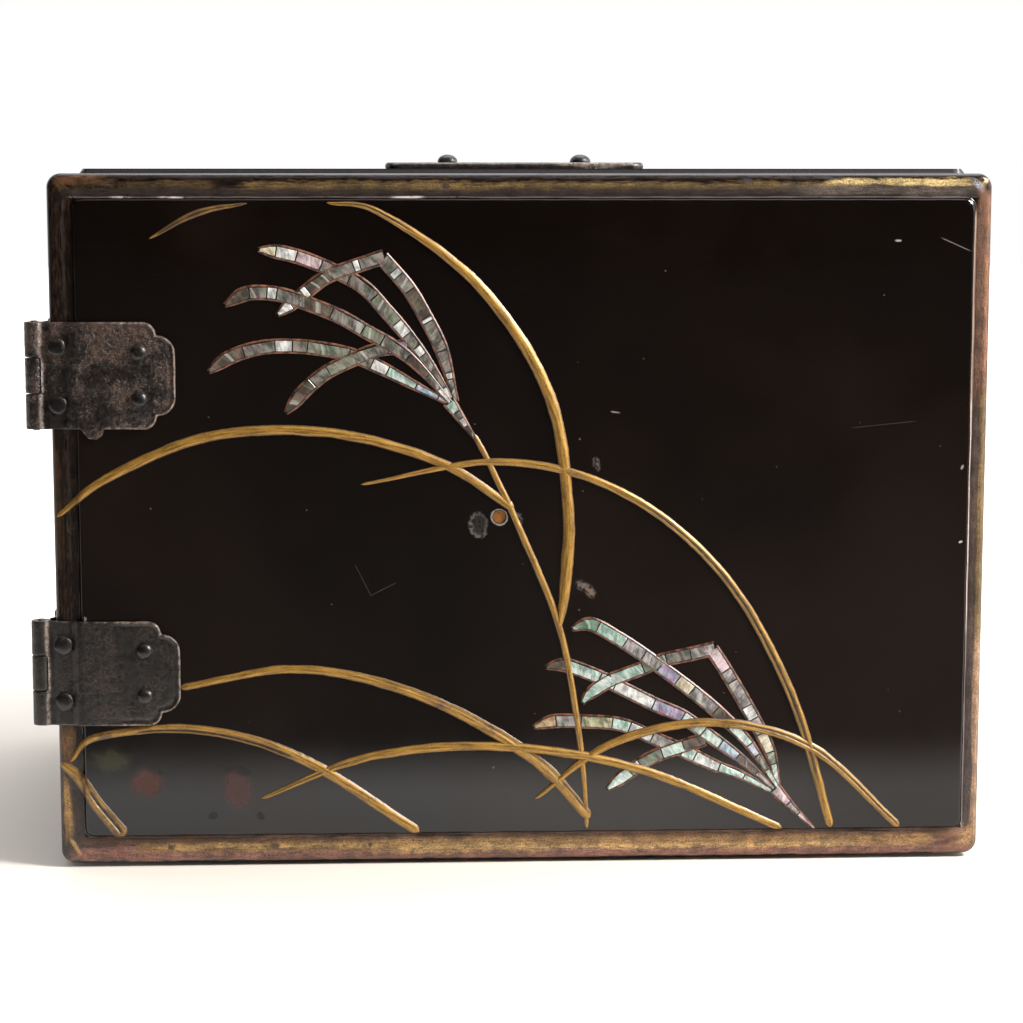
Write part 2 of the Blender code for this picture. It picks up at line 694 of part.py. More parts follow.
def main():
    clear_scene()
    parts = new_collection("lacquer_box")
    tools = new_collection("cutters")
    lacquer = new_material("black_lacquer", LACQUER)
    iron = new_material("wrought_iron", IRON)
    pearl = new_material("mother_of_pearl", PEARL)
    case = build_case(parts, tools, lacquer)
    door = build_door(parts, tools, lacquer)
    build_plume("pearl_plume_upper", PLUME_UPPER, door, parts, tools, pearl)
    build_plume("pearl_plume_lower", PLUME_LOWER, door, parts, tools, pearl)
    for side, height in HINGE_HEIGHTS.items():
        build_hinge(side, height, door, case, parts, tools, iron)
    build_top_plate(case, parts, tools, iron)
    pieces = list(parts.objects)
    shade_round([piece for piece in pieces if any(word in piece.name for word in ("nail", "pin", "stud"))])
    hang_on_axis([piece for piece in pieces if "door" in piece.name or "plume" in piece.name], parts)


main()
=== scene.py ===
"""Looks of the portable lacquer box: lacquer, gold grasses, shell plumes and forged hinges."""

import math
import random
from collections import namedtuple

import bmesh
import bpy
import numpy as np
from mathutils import Matrix, Vector, noise


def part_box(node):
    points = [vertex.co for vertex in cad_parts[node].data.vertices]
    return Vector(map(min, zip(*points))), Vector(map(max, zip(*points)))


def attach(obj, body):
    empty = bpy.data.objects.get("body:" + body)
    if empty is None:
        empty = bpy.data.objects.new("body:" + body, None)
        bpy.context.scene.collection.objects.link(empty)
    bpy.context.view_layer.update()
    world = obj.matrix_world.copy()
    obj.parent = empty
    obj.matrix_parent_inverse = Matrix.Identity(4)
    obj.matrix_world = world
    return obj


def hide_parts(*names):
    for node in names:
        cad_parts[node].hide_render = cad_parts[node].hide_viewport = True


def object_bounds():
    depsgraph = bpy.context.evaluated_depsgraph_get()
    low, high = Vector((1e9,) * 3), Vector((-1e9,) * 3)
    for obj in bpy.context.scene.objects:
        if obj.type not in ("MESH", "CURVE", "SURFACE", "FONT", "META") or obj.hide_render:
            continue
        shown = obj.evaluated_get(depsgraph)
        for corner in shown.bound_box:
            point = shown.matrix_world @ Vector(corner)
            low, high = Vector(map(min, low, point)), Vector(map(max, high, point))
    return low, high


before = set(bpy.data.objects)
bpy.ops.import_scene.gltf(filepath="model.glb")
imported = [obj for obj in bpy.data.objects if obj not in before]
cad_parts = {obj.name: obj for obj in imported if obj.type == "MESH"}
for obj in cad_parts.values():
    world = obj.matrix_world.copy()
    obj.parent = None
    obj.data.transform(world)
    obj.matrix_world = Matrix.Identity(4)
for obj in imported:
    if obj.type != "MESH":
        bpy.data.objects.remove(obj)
cad_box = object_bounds()

MM = 0.001
THOUSANDTH = 1 / 1000
TINY = 1e-12

# Frame: the case and the door as packed
CASE_LOW, CASE_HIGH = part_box("case")
DOOR_LOW, DOOR_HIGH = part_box("door")
DOOR_WIDTH = DOOR_HIGH.x - DOOR_LOW.x
DOOR_HEIGHT = DOOR_HIGH.z - DOOR_LOW.z
DOOR_BACK = DOOR_HIGH.y
FIT = 0.3 * MM

# Door
DOOR_THICKNESS = 12 * MM
DOOR_FRONT = DOOR_BACK - DOOR_THICKNESS
DOOR_CORNER = 4.5 * MM
DOOR_EDGE = 2.0 * MM
DOOR_BACK_EDGE = 0.6 * MM
BORDER_LEFT = 7.6 * MM
BORDER_RIGHT = 5.2 * MM
BORDER_TOP = 7.3 * MM
BORDER_BOTTOM = 8.8 * MM
BORDERS = {"left": BORDER_LEFT, "right": BORDER_RIGHT, "bottom": BORDER_BOTTOM, "top": BORDER_TOP}
BORDER_ROLL = 0.22 * MM
FIELD_RISE = 1.6 * MM
FIELD_SLOPE = 1.2 * MM
FIELD_CORNER = 3.5 * MM
BORDER_SHARE = 1.25
FOOT_GROOVE = 0.12 * MM
FOOT_GROOVE_WIDTH = 0.45 * MM
HAND_WOBBLE = 0.1 * MM
FINE_LINES = 0.3 * MM
COARSE_LINES = 1.5 * MM
LOCK_HOLE = (142.4 * MM, 113.2 * MM)
LOCK_HOLE_RADIUS = 2.3 * MM
LOCK_HOLE_DEPTH = 1.5 * MM
DISC_GAP = (0.05 * MM, 0.25 * MM)
DISC_THICKNESS = 0.5 * MM
DISC_DEPTH = 0.9 * MM

# Case
CASE_BORDER = 8 * MM
CASE_CORNER = 4.5 * MM
CASE_EDGE = 2.0 * MM
CASE_WALL = 10 * MM
CASE_SOFT_EDGE = 0.4 * MM
HOLLOW_CORNER = 0.8 * MM
INSIDE_MARGIN = 0.2 * MM
FIELD_ROOT = 1.5 * MM
TOP_SPREAD = 0.6 * MM
CASE_TOP = CASE_HIGH.z - FIELD_RISE
CASE_SIDE = CASE_HIGH.x - FIELD_RISE
CASE_FRONT = CASE_LOW.y
CASE_BACK = CASE_HIGH.y - FIELD_RISE

# Gold blades on the door. Across and up are thousandths of the door's size, and widths are millimetres.
# The rise is a share of half the width, and the crest is its place from -1 to 1 across the blade. A groove
# has a place across, a depth and the shares of the length between which it runs. Worn says how much brown
# shows through, and the lift is in millimetres.
Blade = namedtuple("Blade", "points rise crest groove worn lift")
NO_GROOVE = (0, 0, 0, 1)
BLADES = {
    "gold_blade_tall": Blade(
        [(293, 959, 0.8), (350, 944, 2.2), (452, 843, 3.4), (526, 691, 3.8), (548, 526, 3.8),
         (545, 405, 3.8), (538, 342, 1.6)], 0.52, -0.15, (0, 0.7, 0, 0.16), 0.2, 0),
    "gold_blade_corner": Blade(
        [(107, 908, 0.7), (157, 944, 2.1), (210, 958, 0.7)], 0.40, 0, (0, 0.8, 0.1, 0.95), 0.75, 0),
    "gold_blade_left": Blade(
        [(4, 512, 1.6), (60, 569, 3), (167, 627, 3.3), (293, 632, 3.3), (410, 589, 3.1), (490, 521, 2.8)],
        0.52, -0.3, NO_GROOVE, 0.35, 0),
    "gold_blade_right": Blade(
        [(327, 557, 0.9), (475, 589, 2.4), (603, 546, 2.7), (713, 427, 2.9), (790, 249, 3.2),
         (837, 45, 2.8)], 0.52, 0.1, (-0.15, 0.9, 0.42, 0.93), 0.25, 0.25),
    "gold_stalk": Blade(
        [(447, 630, 1.6), (460, 597, 1.9), (497, 489, 2.2), (540, 342, 2.2), (562, 175, 2), (570, 47, 1.4)],
        0.54, 0, NO_GROOVE, 0.4, 0.05),
    "gold_blade_low": Blade(
        [(131, 262, 2.2), (260, 288, 2.9), (390, 247, 3.5), (507, 157, 4.2), (573, 63, 3.6)],
        0.46, -0.2, (0.45, 0.35, 0.45, 1), 0.35, 0),
    "gold_blade_lowest": Blade(
        [(12, 153, 1.4), (43, 191, 2.6), (150, 200, 3.1), (260, 156, 3.6), (387, 44, 3.4)],
        0.46, 0.1, (-0.35, 0.85, 0.2, 0.62), 0.4, 0),
    "gold_blade_peeled": Blade(
        [(1, 152, 2.6), (22, 128, 4.2), (42, 88, 4.6), (69, 42, 5.0)], 0.36, -0.1, (0.15, 0.95, 0.42, 0.95),
        0.58, 0),
    "gold_bridge_left": Blade(
        [(217, 97, 1.2), (333, 157, 2.8), (475, 171, 3.0), (627, 135, 3.0), (783, 44, 2.5)],
        0.54, -0.1, (0.1, 0.6, 0, 0.2), 0.2, 0.3),
    "gold_bridge_right": Blade(
        [(513, 92, 1.1), (595, 173, 2.8), (703, 204, 3.0), (813, 166, 3.2), (912, 45, 2.6)],
        0.50, -0.1, (0.1, 0.6, 0.5, 1), 0.3, 0.35),
}
BLADE_STEP = 0.6 * MM
BLADE_SINK = 0.35 * MM
BLADE_FOOT = 0.12 * MM
BLADE_ACROSS = 22
BLADE_SWAY = 7 * MM
BLADE_SHIFT = 0.12 * MM
BLADE_RIPPLE = 1.6 * MM
BLADE_TIP = 1.6 * MM
WIDTH_SHAKE = 0.10
RISE_SHAKE = 0.15
EDGE_SHAKE = 0.06
GROOVE_SHAKE = 0.3
GROOVE_FADE = 0.04
GROOVE_WIDTH = 0.26

# Shell strands: their level in the plume, their points from the tip to the stem, and their tiles from the
# tip as kinds with lengths in millimetres, which are stretched to fill the strand.
# White tiles are partly white shell and partly painted glints on the shell
UPPER_PLUME = {
    "s4": (0, [(167, 719), (189, 740), (222, 754), (257, 756), (292, 751), (320, 742), (353, 722),
               (385, 699), (424, 672)],
           "dusk 8, grey 6.5, white 3.5, grey 3, sage 8.5, grey 5, white 3.5, mint 6.5, sky 5, rose 3"),
    "s5": (1, [(248, 660), (267, 691), (291, 718), (320, 737), (347, 751), (378, 755)],
           "dusk 8, grey 4, sage 6, grey 7, lilac 4"),
    "s2": (1, [(221, 893), (248, 888), (279, 875), (327, 844), (354, 807), (378, 769), (399, 732),
               (424, 680)],
           "cream 3.2, white 4, rose 5, grey 6, grey 6, sage 6.5, white 3, grey 3, white 2, grey 3.5, "
           "grey 4, white 2.5"),
    "s1b": (2, [(240, 800), (268, 830), (292, 854), (320, 868), (354, 883)],
            "white 4, grey 4, white 1.6, dusk 7, grey 6, white 1.6, grey 6.5"),
    "s3": (3, [(185, 814), (209, 831), (241, 830), (271, 817), (306, 798), (337, 774), (367, 751),
               (392, 722), (423, 674)],
           "dusk 6, grey 4, white 2.2, grey 5.5, dusk 7.5, grey 8, sage 5, grey 7, dusk 6, grey 4, white 4"),
    "s1": (2, [(351, 881), (378, 839), (396, 798), (413, 751), (429, 676)],
           "grey 3.5, white 1.6, grey 4, dusk 7, white 1, grey 7, grey 5, white 1.5, grey 5"),
    "stem": (4, [(421, 676), (436, 647), (452, 617)], "mint 3, grey 2, white 2.4, dusk 5"),
}
LOWER_PLUME = {
    "l4": (0, [(511, 199), (534, 208), (567, 207), (606, 202), (641, 182), (677, 160), (709, 139),
               (737, 125), (776, 97)],
           "tan 5, silver 5.5, stripe 7, mint 4, white 5.5, silver 7.5, mint 3, white 6, mint 6, mint 8"),
    "l5": (1, [(591, 105), (609, 124), (638, 151), (666, 165), (698, 179)],
           "mint 7, mint 3, sage 6, mint 5.5, dusk 5.5"),
    "l3": (1, [(524, 288), (545, 291), (573, 278), (601, 260), (640, 233), (673, 213), (702, 184),
               (737, 149), (776, 102)],
           "dusk 5, mint 8, mint 4, white 10, lilac 7.5, mint 6, mint 5, sky 5, dusk 6, silver 6"),
    "l1b": (2, [(564, 234), (573, 249), (595, 268), (623, 282), (651, 297), (679, 305), (708, 314)],
            "mint 9, mint 8, sage 6, grey 6, silver 6"),
    "l1": (2, [(704, 313), (715, 291), (733, 251), (751, 208), (769, 159), (779, 104)],
           "rose 6, silver 3, silver 7, white 3.5, silver 4, cream 5, sage 3, mint 6"),
    "l2": (3, [(552, 344), (573, 351), (601, 331), (629, 306), (658, 277), (687, 247), (716, 213),
               (745, 173), (779, 104)],
           "moss 6, mint 7, silver 5, silver 4.5, lilac 5, cream 4, silver 7, dusk 5, mint 6, sky 3, "
           "sage 4, mint 5"),
    "stem": (4, [(774, 105), (796, 73), (819, 43)], "rose 5.5, silver 4, rose 6"),
}
STRAND_WIDTH = 4.7 * MM
STRAND_TIP_LENGTH = 7 * MM
STRAND_TIP_SHARE = 0.3
STRAND_END_SHARE = 0.36
BLUNT_STRANDS = ("s1", "l1")
BRANCHES = ("s1b", "s5", "l1b", "l5")
STRAND_STEP = 1.0 * MM
RIM_WIDTH = 0.62 * MM
RIM_HEIGHT = 0.24 * MM
RIM_SHARE = 0.4
RIM_PROFILE = np.array([0.3, -0.35, -0.8, -1])
RIM_FOOT = 0.1 * MM
BED_SINK = 0.4 * MM
CHANNEL_DEPTH = 0.14 * MM
STRAND_START = 0.35 * MM
STRAND_REST = 0.5 * MM
LEVEL_HEIGHT = 0.075 * MM
TILE_DEPTH = 0.3 * MM
TILE_SINK = 0.05 * MM
TILE_JOINT = 0.4 * MM
TILE_GAP = 0.08 * MM
TILE_CHAMFER = 0.08 * MM
TILE_TILT = 0.05 * MM

# Shell kinds: the dark and the light colour of the bands, and the share of rainbow colours
SHELL_KINDS = {
    "dusk": ((62, 52, 44), (118, 104, 90), 0.04),
    "grey": ((72, 68, 62), (150, 145, 136), 0.05),
    "sage": ((78, 82, 68), (148, 152, 134), 0.06),
    "silver": ((98, 93, 92), (192, 186, 184), 0.07),
    "white": ((160, 162, 160), (252, 254, 252), 0.04),
    "cream": ((166, 154, 122), (242, 236, 216), 0.04),
    "rose": ((142, 114, 120), (238, 216, 222), 0.12),
    "lilac": ((104, 94, 118), (190, 176, 208), 0.14),
    "sky": ((116, 138, 160), (218, 232, 244), 0.12),
    "mint": ((116, 146, 134), (226, 244, 236), 0.12),
    "moss": ((66, 88, 70), (118, 148, 124), 0.12),
    "tan": ((130, 98, 64), (210, 182, 142), 0.05),
    "stripe": ((96, 92, 70), (200, 200, 160), 0.08),
}

# Hinges
AXIS_X = -CASE_SIDE - 4.8 * MM
AXIS_Y = DOOR_FRONT + 1.4 * MM
HINGE_LENGTH = 34 * MM
HINGE_HEIGHTS = {"upper": 160.0 * MM, "lower": 64.3 * MM}
BARREL_RADIUS = 3.2 * MM
BARREL_CLEARANCE = 0.38 * MM
BARREL_SINK = 0.2 * MM
PIN_RADIUS = 1.2 * MM
PIN_BEVEL = 0.25 * MM
KNUCKLE_LENGTH = (HINGE_LENGTH - 2 * FIT) / 3
LEAF_REACH = 39.8 * MM
LEAF_THICKNESS = 1.3 * MM
LEAF_ROOT = 0.5 * MM
LEAF_DIP = (3.6 * MM, 6.0 * MM)
LEAF_DIP_DEPTH = 0.95 * MM
LEAF_STEP_RUN = 1.8 * MM
LEAF_STEP_LEAD = 0.4 * MM
LOBE_SMALL = 4.2 * MM
LOBE_LARGE = 6.0 * MM
LEAF_MARGIN = 0.5 * MM
LEAF_VOXEL = 0.36 * MM
HIDDEN_LEAF_VOXEL = 0.5 * MM

# Rim of a leaf, worn bright, and painted shade behind its bend: a middle and a width each. The barrel's
# highlight is an angle.
RIDGE = (0.45 * MM, 0.45 * MM)
RIDGE_HEIGHT = 0.24 * MM
TROUGH = (1.7 * MM, 0.6 * MM)
TROUGH_DEPTH = 0.18 * MM
EDGE_WEAR = (0.3 * MM, 0.45 * MM)
FAR_PART = (26 * MM, 14 * MM)
BEND_SHADE = (0.8 * MM, 1.5 * MM)
# Painted highlight: a lighter strip along the flank of each barrel
BARREL_HIGHLIGHT = (0.68, 0.3)

# How far the iron rises and how deep its pits are, on the rusty hinge and on the smoother one
PITTED = (0.11 * MM, 0.3 * MM)
SMOOTH = (0.05 * MM, 0.07 * MM)

# Nails: how deep a head sinks, the radius and height of each kind, and its unevenness
NAIL_SINK = 0.4 * MM
NAIL_STANDS = 1.6 * MM
FLAT_HEAD = (3.0 * MM, 1.1 * MM, 0.12)
ROUND_HEAD = (2.55 * MM, 1.6 * MM, 0.06)
SIDE_HEAD_RADIUS = 2.7 * MM
STUD_HEAD = (3.6 * MM, 2.6 * MM, 0.12)

# Plate on the top
PLATE_NODE = "top_plate"
STUD_NODES = ("top_stud_left", "top_stud_right")
PLATE_VOXEL = 0.6 * MM
PLATE_CORNER = 5 * MM
PLATE_BEVEL = 1.0 * MM
PLATE_RIM = (0.5 * MM, 0.7 * MM)
# Painted highlight: a lighter patch along the plate's right part, a middle and a width
PLATE_HIGHLIGHT = (29 * MM, 11 * MM)

# Floor and camera, which is fitted to the photograph
FLOOR_SIZE = 6
FLOOR_GAP = 0.2 * MM
CAMERA_PLACE = (-0.03825, -0.9036, 0.2196)
CAMERA_YAW = 2.486
CAMERA_PITCH = 7.423
CAMERA_LENS = 87.98
SENSOR = 36


# Shading

LACQUER_IOR = 1.56


def srgb(red, green, blue):
    """A colour given as 0 to 255, in the linear values that shaders take."""
    values = []
    for value in (red, green, blue):
        share = value / 255
        values.append(share / 12.92 if share <= 0.04045 else ((share + 0.055) / 1.055) ** 2.4)
    return (*values, 1)


class Shade:
    """One material's nodes. Its methods take numbers or sockets and give sockets."""

    def __init__(self, name, tree=None):
        if tree is None:
            self.material = bpy.data.materials.new(name)
            self.material.use_nodes = True
            tree = self.material.node_tree
            self.shader = tree.nodes["Principled BSDF"]
        self.tree = tree
        self.place = self.add("ShaderNodeTexCoord").outputs["Object"]
        x, y, z = self.split(self.place)
        self.across = self.minus(x, DOOR_LOW.x)
        self.up = self.minus(z, DOOR_LOW.z)
        self.x, self.y, self.z = x, y, z

    def add(self, kind, values=()):
        """A new node, with values or sockets for its named inputs."""
        node = self.tree.nodes.new(kind)
        for name, value in dict(values).items():
            self.feed(node.inputs[name], value)
        return node

    def feed(self, socket, value):
        if isinstance(value, bpy.types.NodeSocket):
            self.tree.links.new(value, socket)
        else:
            socket.default_value = value

    def split(self, vector):
        node = self.add("ShaderNodeSeparateXYZ")
        self.feed(node.inputs[0], vector)
        return node.outputs

    def join(self, x, y, z):
        node = self.add("ShaderNodeCombineXYZ")
        for socket, value in zip(node.inputs, (x, y, z)):
            self.feed(socket, value)
        return node.outputs[0]

    def math(self, operation, first, second=0.0, third=0.0):
        node = self.add("ShaderNodeMath")
        node.operation = operation
        for socket, value in zip(node.inputs, (first, second, third)):
            self.feed(socket, value)
        return node.outputs[0]

    def plus(self, first, second):
        return self.math("ADD", first, second)

    def minus(self, first, second):
        return self.math("SUBTRACT", first, second)

    def scaled(self, value, factor, shift):
        """The value times a factor, plus a shift."""
        return self.math("MULTIPLY_ADD", value, factor, shift)

    def in_turn(self, operation, result, *values):
        """One operation over all values."""
        for value in values:
            result = self.math(operation, result, value)
        return result

    def times(self, *values):
        return self.in_turn("MULTIPLY", *values)

    def least(self, *values):
        return self.in_turn("MINIMUM", *values)

    def most(self, *values):
        return self.in_turn("MAXIMUM", *values)

    def step(self, value, start, stop, low=0.0, high=1.0):
        """Low before start and high after stop, smoothly. Start may be the larger one."""
        node = self.add("ShaderNodeMapRange", {"Value": value, "From Min": start, "From Max": stop,
                                               "To Min": low, "To Max": high})
        node.interpolation_type = "SMOOTHSTEP"
        return node.outputs["Result"]

    def band(self, value, start, stop, soft):
        """1 between start and stop."""
        begins = self.step(value, start - soft, start + soft)
        return self.times(begins, self.step(value, stop + soft, stop - soft))

    def noise(self, scale, detail=2.0, roughness=0.5, vector=None, distortion=0.0):
        spot = self.place if vector is None else vector
        node = self.add("ShaderNodeTexNoise", {"Vector": spot, "Scale": scale, "Detail": detail,
                                               "Roughness": roughness, "Distortion": distortion})
        return node.outputs["Fac"]

    def cells(self, scale):
        """Distance to the nearest of scattered points, and a random value of each."""
        node = self.add("ShaderNodeTexVoronoi", {"Vector": self.place, "Scale": scale})
        return node.outputs["Distance"], self.split(node.outputs["Color"])[0]

    def mix(self, share, first, second):
        node = self.add("ShaderNodeMix")
        node.data_type = "RGBA"
        self.feed(node.inputs[0], share)
        self.feed(node.inputs[6], first)
        self.feed(node.inputs[7], second)
        return node.outputs[2]

    def mixed(self, share, first, second):
        """A number between two numbers."""
        node = self.add("ShaderNodeMix")
        self.feed(node.inputs[0], share)
        self.feed(node.inputs[2], first)
        self.feed(node.inputs[3], second)
        return node.outputs[0]

    def blob(self, across, up, half_width, half_height, angle=0, soft=0.4, wobble=0.5):
        """1 inside an uneven oval on the door, placed from its lower left corner in metres."""
        dx = self.minus(self.across, across)
        dz = self.minus(self.up, up)
        cos, sin = math.cos(math.radians(angle)), math.sin(math.radians(angle))
        along = self.plus(self.times(dx, cos / half_width), self.times(dz, sin / half_width))
        beside = self.plus(self.times(dx, -sin / half_height), self.times(dz, cos / half_height))
        squared = self.plus(self.times(along, along), self.times(beside, beside))
        rough = self.scaled(self.noise(420, 3, 0.6), wobble, -wobble / 2)
        reach = self.plus(self.math("SQRT", squared), rough)
        return self.step(reach, 1, 1 - soft)

    def stroke(self, start, end, width):
        """1 along a thin straight line between two points on the door, in metres."""
        dx, dz = end[0] - start[0], end[1] - start[1]
        length = math.hypot(dx, dz)
        ux, uz = dx / length, dz / length
        ax = self.minus(self.across, start[0])
        az = self.minus(self.up, start[1])
        along = self.plus(self.times(ax, ux), self.times(az, uz))
        beside = self.math("ABSOLUTE", self.plus(self.times(ax, -uz), self.times(az, ux)))
        wavy = self.scaled(self.noise(260, 1), width, -width / 2)
        inside = self.band(along, 0, length, length * 0.1)
        return self.times(inside, self.step(self.plus(beside, wavy), width, width * 0.4))

    def bump(self, height, distance, strength=1.0, base=None):
        values = {"Height": height, "Distance": distance, "Strength": strength}
        if base is not None:
            values["Normal"] = base
        return self.add("ShaderNodeBump", values).outputs["Normal"]

    def route(self):
        """The distance along a band and the place across it, from its own map."""
        node = self.add("ShaderNodeUVMap")
        node.uv_map = "along"
        u, v, _ = self.split(node.outputs["UV"])
        return u, v

    def value(self, name):
        node = self.add("ShaderNodeAttribute")
        node.attribute_name = name
        return node.outputs["Fac"]

    def finish(self, color, roughness, normal=None, ior=LACQUER_IOR, metal=0.0, coat=0.0,
               coat_roughness=0.1):
        """Set the shader, and give the material."""
        values = {"Base Color": color, "Roughness": roughness, "Metallic": metal, "Coat Weight": coat,
                  "Coat Roughness": coat_roughness, "IOR": ior}
        if normal is not None:
            values["Normal"] = normal
        for name, value in values.items():
            self.feed(self.shader.inputs[name], value)
        return self.material


BLACK = srgb(13, 8, 6)
BLACK_WARM = srgb(25, 17, 13)
BORDER_DARK = srgb(14, 10, 9)
BORDER_LIGHT = srgb(54, 39, 30)
GOLD_PAINT = srgb(120, 94, 52)
BARE_WOOD = srgb(120, 78, 46)
SCRATCH = srgb(180, 172, 162)

# Stripes of the worn border on each side: from and to as shares of the border's width from the outer edge
# and how soft they end, from and to along the side in millimetres, the colour, its strength and how patchy
Stripe = namedtuple("Stripe", "low high soft start stop color strength patchy")
STRIPES = {
    "top": [
        (0.62, 1.02, 0.10, 0, 300, (62, 50, 44), 0.8, 0.35),
        (0.32, 0.66, 0.08, 10, 52, (78, 60, 32), 0.9, 0.55),
        (0.36, 0.70, 0.07, 62, 262, (98, 76, 38), 1.0, 0.30),
        (0.46, 0.56, 0.06, 66, 250, (124, 100, 52), 0.7, 0.50),
        (0.02, 0.38, 0.10, 4, 17, (104, 66, 38), 0.8, 0.45),
        (0.12, 0.20, 0.04, 40, 250, (44, 36, 42), 0.8, 0.50),
        (0.22, 0.50, 0.08, 248, 292, (204, 178, 120), 0.95, 0.30),
        (0.55, 0.95, 0.10, 236, 298, (98, 86, 80), 0.85, 0.30),
    ],
    "bottom": [
        (0.08, 0.60, 0.06, 0, 300, (142, 98, 84), 0.95, 0.10),
        (0.02, 0.10, 0.03, 60, 296, (140, 86, 52), 0.8, 0.40),
        (0.68, 1.00, 0.10, 0, 300, (106, 72, 50), 0.9, 0.25),
        (0.42, 0.76, 0.10, 24, 112, (152, 116, 68), 0.95, 0.25),
        (0.56, 0.70, 0.08, 34, 104, (192, 156, 98), 0.8, 0.40),
        (0.30, 0.84, 0.07, 102, 158, (168, 130, 80), 0.95, 0.20),
        (0.46, 0.84, 0.07, 150, 186, (160, 122, 76), 0.95, 0.20),
        (0.34, 0.82, 0.08, 178, 284, (164, 124, 78), 0.95, 0.28),
        (0.40, 0.58, 0.08, 112, 262, (206, 168, 108), 0.75, 0.42),
        (0.88, 0.95, 0.03, 60, 280, (146, 112, 92), 0.6, 0.55),
    ],
    "left": [
        (0.00, 0.30, 0.12, 98, 136, (88, 60, 26), 0.6, 0.50),
        (0.62, 0.74, 0.06, 96, 216, (70, 60, 56), 0.5, 0.45),
        (0.02, 0.66, 0.12, 33, 46, (122, 84, 42), 0.8, 0.45),
        (0.00, 0.24, 0.06, 0, 34, (78, 60, 54), 0.9, 0.20),
        (0.14, 0.58, 0.08, 9, 28, (178, 138, 82), 0.95, 0.25),
        (0.50, 1.00, 0.10, 0, 34, (70, 54, 46), 0.8, 0.30),
    ],
    "right": [
        (0.05, 0.95, 0.10, 150, 216, (118, 80, 60), 0.95, 0.15),
        (0.15, 0.35, 0.08, 154, 214, (146, 98, 66), 0.8, 0.45),
        (0.60, 0.80, 0.06, 160, 212, (96, 76, 62), 0.7, 0.50),
        (0.55, 1.00, 0.08, 60, 152, (90, 72, 66), 0.9, 0.20),
        (0.05, 0.52, 0.08, 66, 152, (120, 95, 58), 0.95, 0.22),
        (0.05, 0.55, 0.10, 6, 72, (160, 126, 98), 0.95, 0.25),
        (0.55, 1.00, 0.08, 0, 64, (86, 70, 66), 0.9, 0.20),
        (0.30, 0.85, 0.10, 153, 156, (34, 24, 19), 0.9, 0.60),
    ],
}
GOLD_SPECKLE = 0.5

# Painted highlights: pale lines along the crest of the field's slope, with millimetres from the outer edge
PAINTED_CREST_HIGHLIGHTS = {
    "right": [
        (4.95, 5.75, 0.25, 146, 210, (176, 154, 142), 0.60, 0.35),
        (5.15, 5.60, 0.15, 74, 150, (206, 190, 182), 0.75, 0.35),
        (5.15, 5.55, 0.15, 10, 80, (132, 122, 120), 0.70, 0.30),
    ],
    "top": [
        (7.25, 7.65, 0.12, 8, 292, (110, 98, 96), 0.65, 0.45),
        (7.15, 7.75, 0.12, 21, 26, (220, 204, 202), 0.70, 0.60),
        (7.15, 7.75, 0.12, 36, 44, (220, 204, 202), 0.75, 0.60),
        (7.15, 7.75, 0.12, 109, 118, (222, 208, 204), 0.80, 0.50),
    ],
}

# Marks on the door: the colour, the place from the lower left corner, half the width and height and the turn
# in millimetres and degrees, how soft and how uneven the outline is, how strong the mark is, how much of it
# is mottled away and how dull it is
Mark = namedtuple("Mark", "color across up width height turn soft uneven strength mottled dull")
BORDER_MARKS = [
    ((104, 66, 36), 6, 220, 5, 1.6, -4, 0.8, 1.2, 0.7, 0, 0.5),
    ((16, 12, 11), 4.0, 215.5, 2.6, 2.8, -40, 0.8, 1.2, 0.8, 0, 0.4),
    ((120, 84, 62), 297, 216, 2.4, 6.0, 20, 0.9, 1.0, 0.8, 0, 0.5),
    # A painted glint: bluish white at the top right corner
    ((190, 194, 208), 295, 219.0, 1.6, 3.6, 45, 0.8, 1.2, 0.8, 0.5, 0.3),
    ((30, 22, 20), 293.5, 216.4, 3.4, 2.4, 30, 0.8, 1.2, 0.7, 0.5, 0.4),
    ((128, 88, 62), 293, 5.5, 8.5, 6.5, 20, 0.9, 1.2, 0.9, 0, 0.5),
    ((190, 150, 100), 296, 6.0, 5.5, 3.4, 50, 0.8, 1.0, 0.9, 0.48, 0.5),
    ((150, 112, 100), 293, 9.0, 3.0, 4.0, -20, 0.8, 1.0, 0.8, 0.5, 0.5),
    ((52, 34, 24), 290, 4.6, 8.0, 1.4, 14, 0.8, 2.0, 0.8, 0.44, 0.5),
    ((190, 152, 96), 4.7, 6.0, 4.0, 1.0, -58, 0.6, 1.0, 0.85, 0.42, 0.5),
    ((134, 76, 56), 19.2, 4.8, 1.8, 3.4, 0, 0.8, 0.8, 0.5, 0, 0.5),
    ((64, 42, 30), 35.4, 5.4, 1.4, 1.1, 0, 0.6, 1.0, 0.9, 0, 0.5),
    ((72, 50, 40), 69.2, 5.4, 2.6, 1.3, 0, 0.6, 1.0, 0.9, 0, 0.5),
    ((60, 40, 28), 100.2, 5.4, 1.1, 1.0, 0, 0.6, 1.0, 0.9, 0, 0.5),
    ((48, 36, 46), 125.6, 218.6, 1.6, 1.3, 0, 0.6, 1.0, 0.8, 0, 0.5),
    ((64, 62, 84), 221.4, 220.4, 2.2, 0.8, -10, 0.6, 1.2, 0.7, 0, 0.4),
    ((58, 50, 52), 271, 217, 2.0, 1.3, -20, 0.6, 1.0, 0.8, 0, 0.5),
    ((14, 10, 10), 58, 219.4, 6.5, 1.4, 2, 0.8, 1.0, 0.9, 0, 0.3),
]
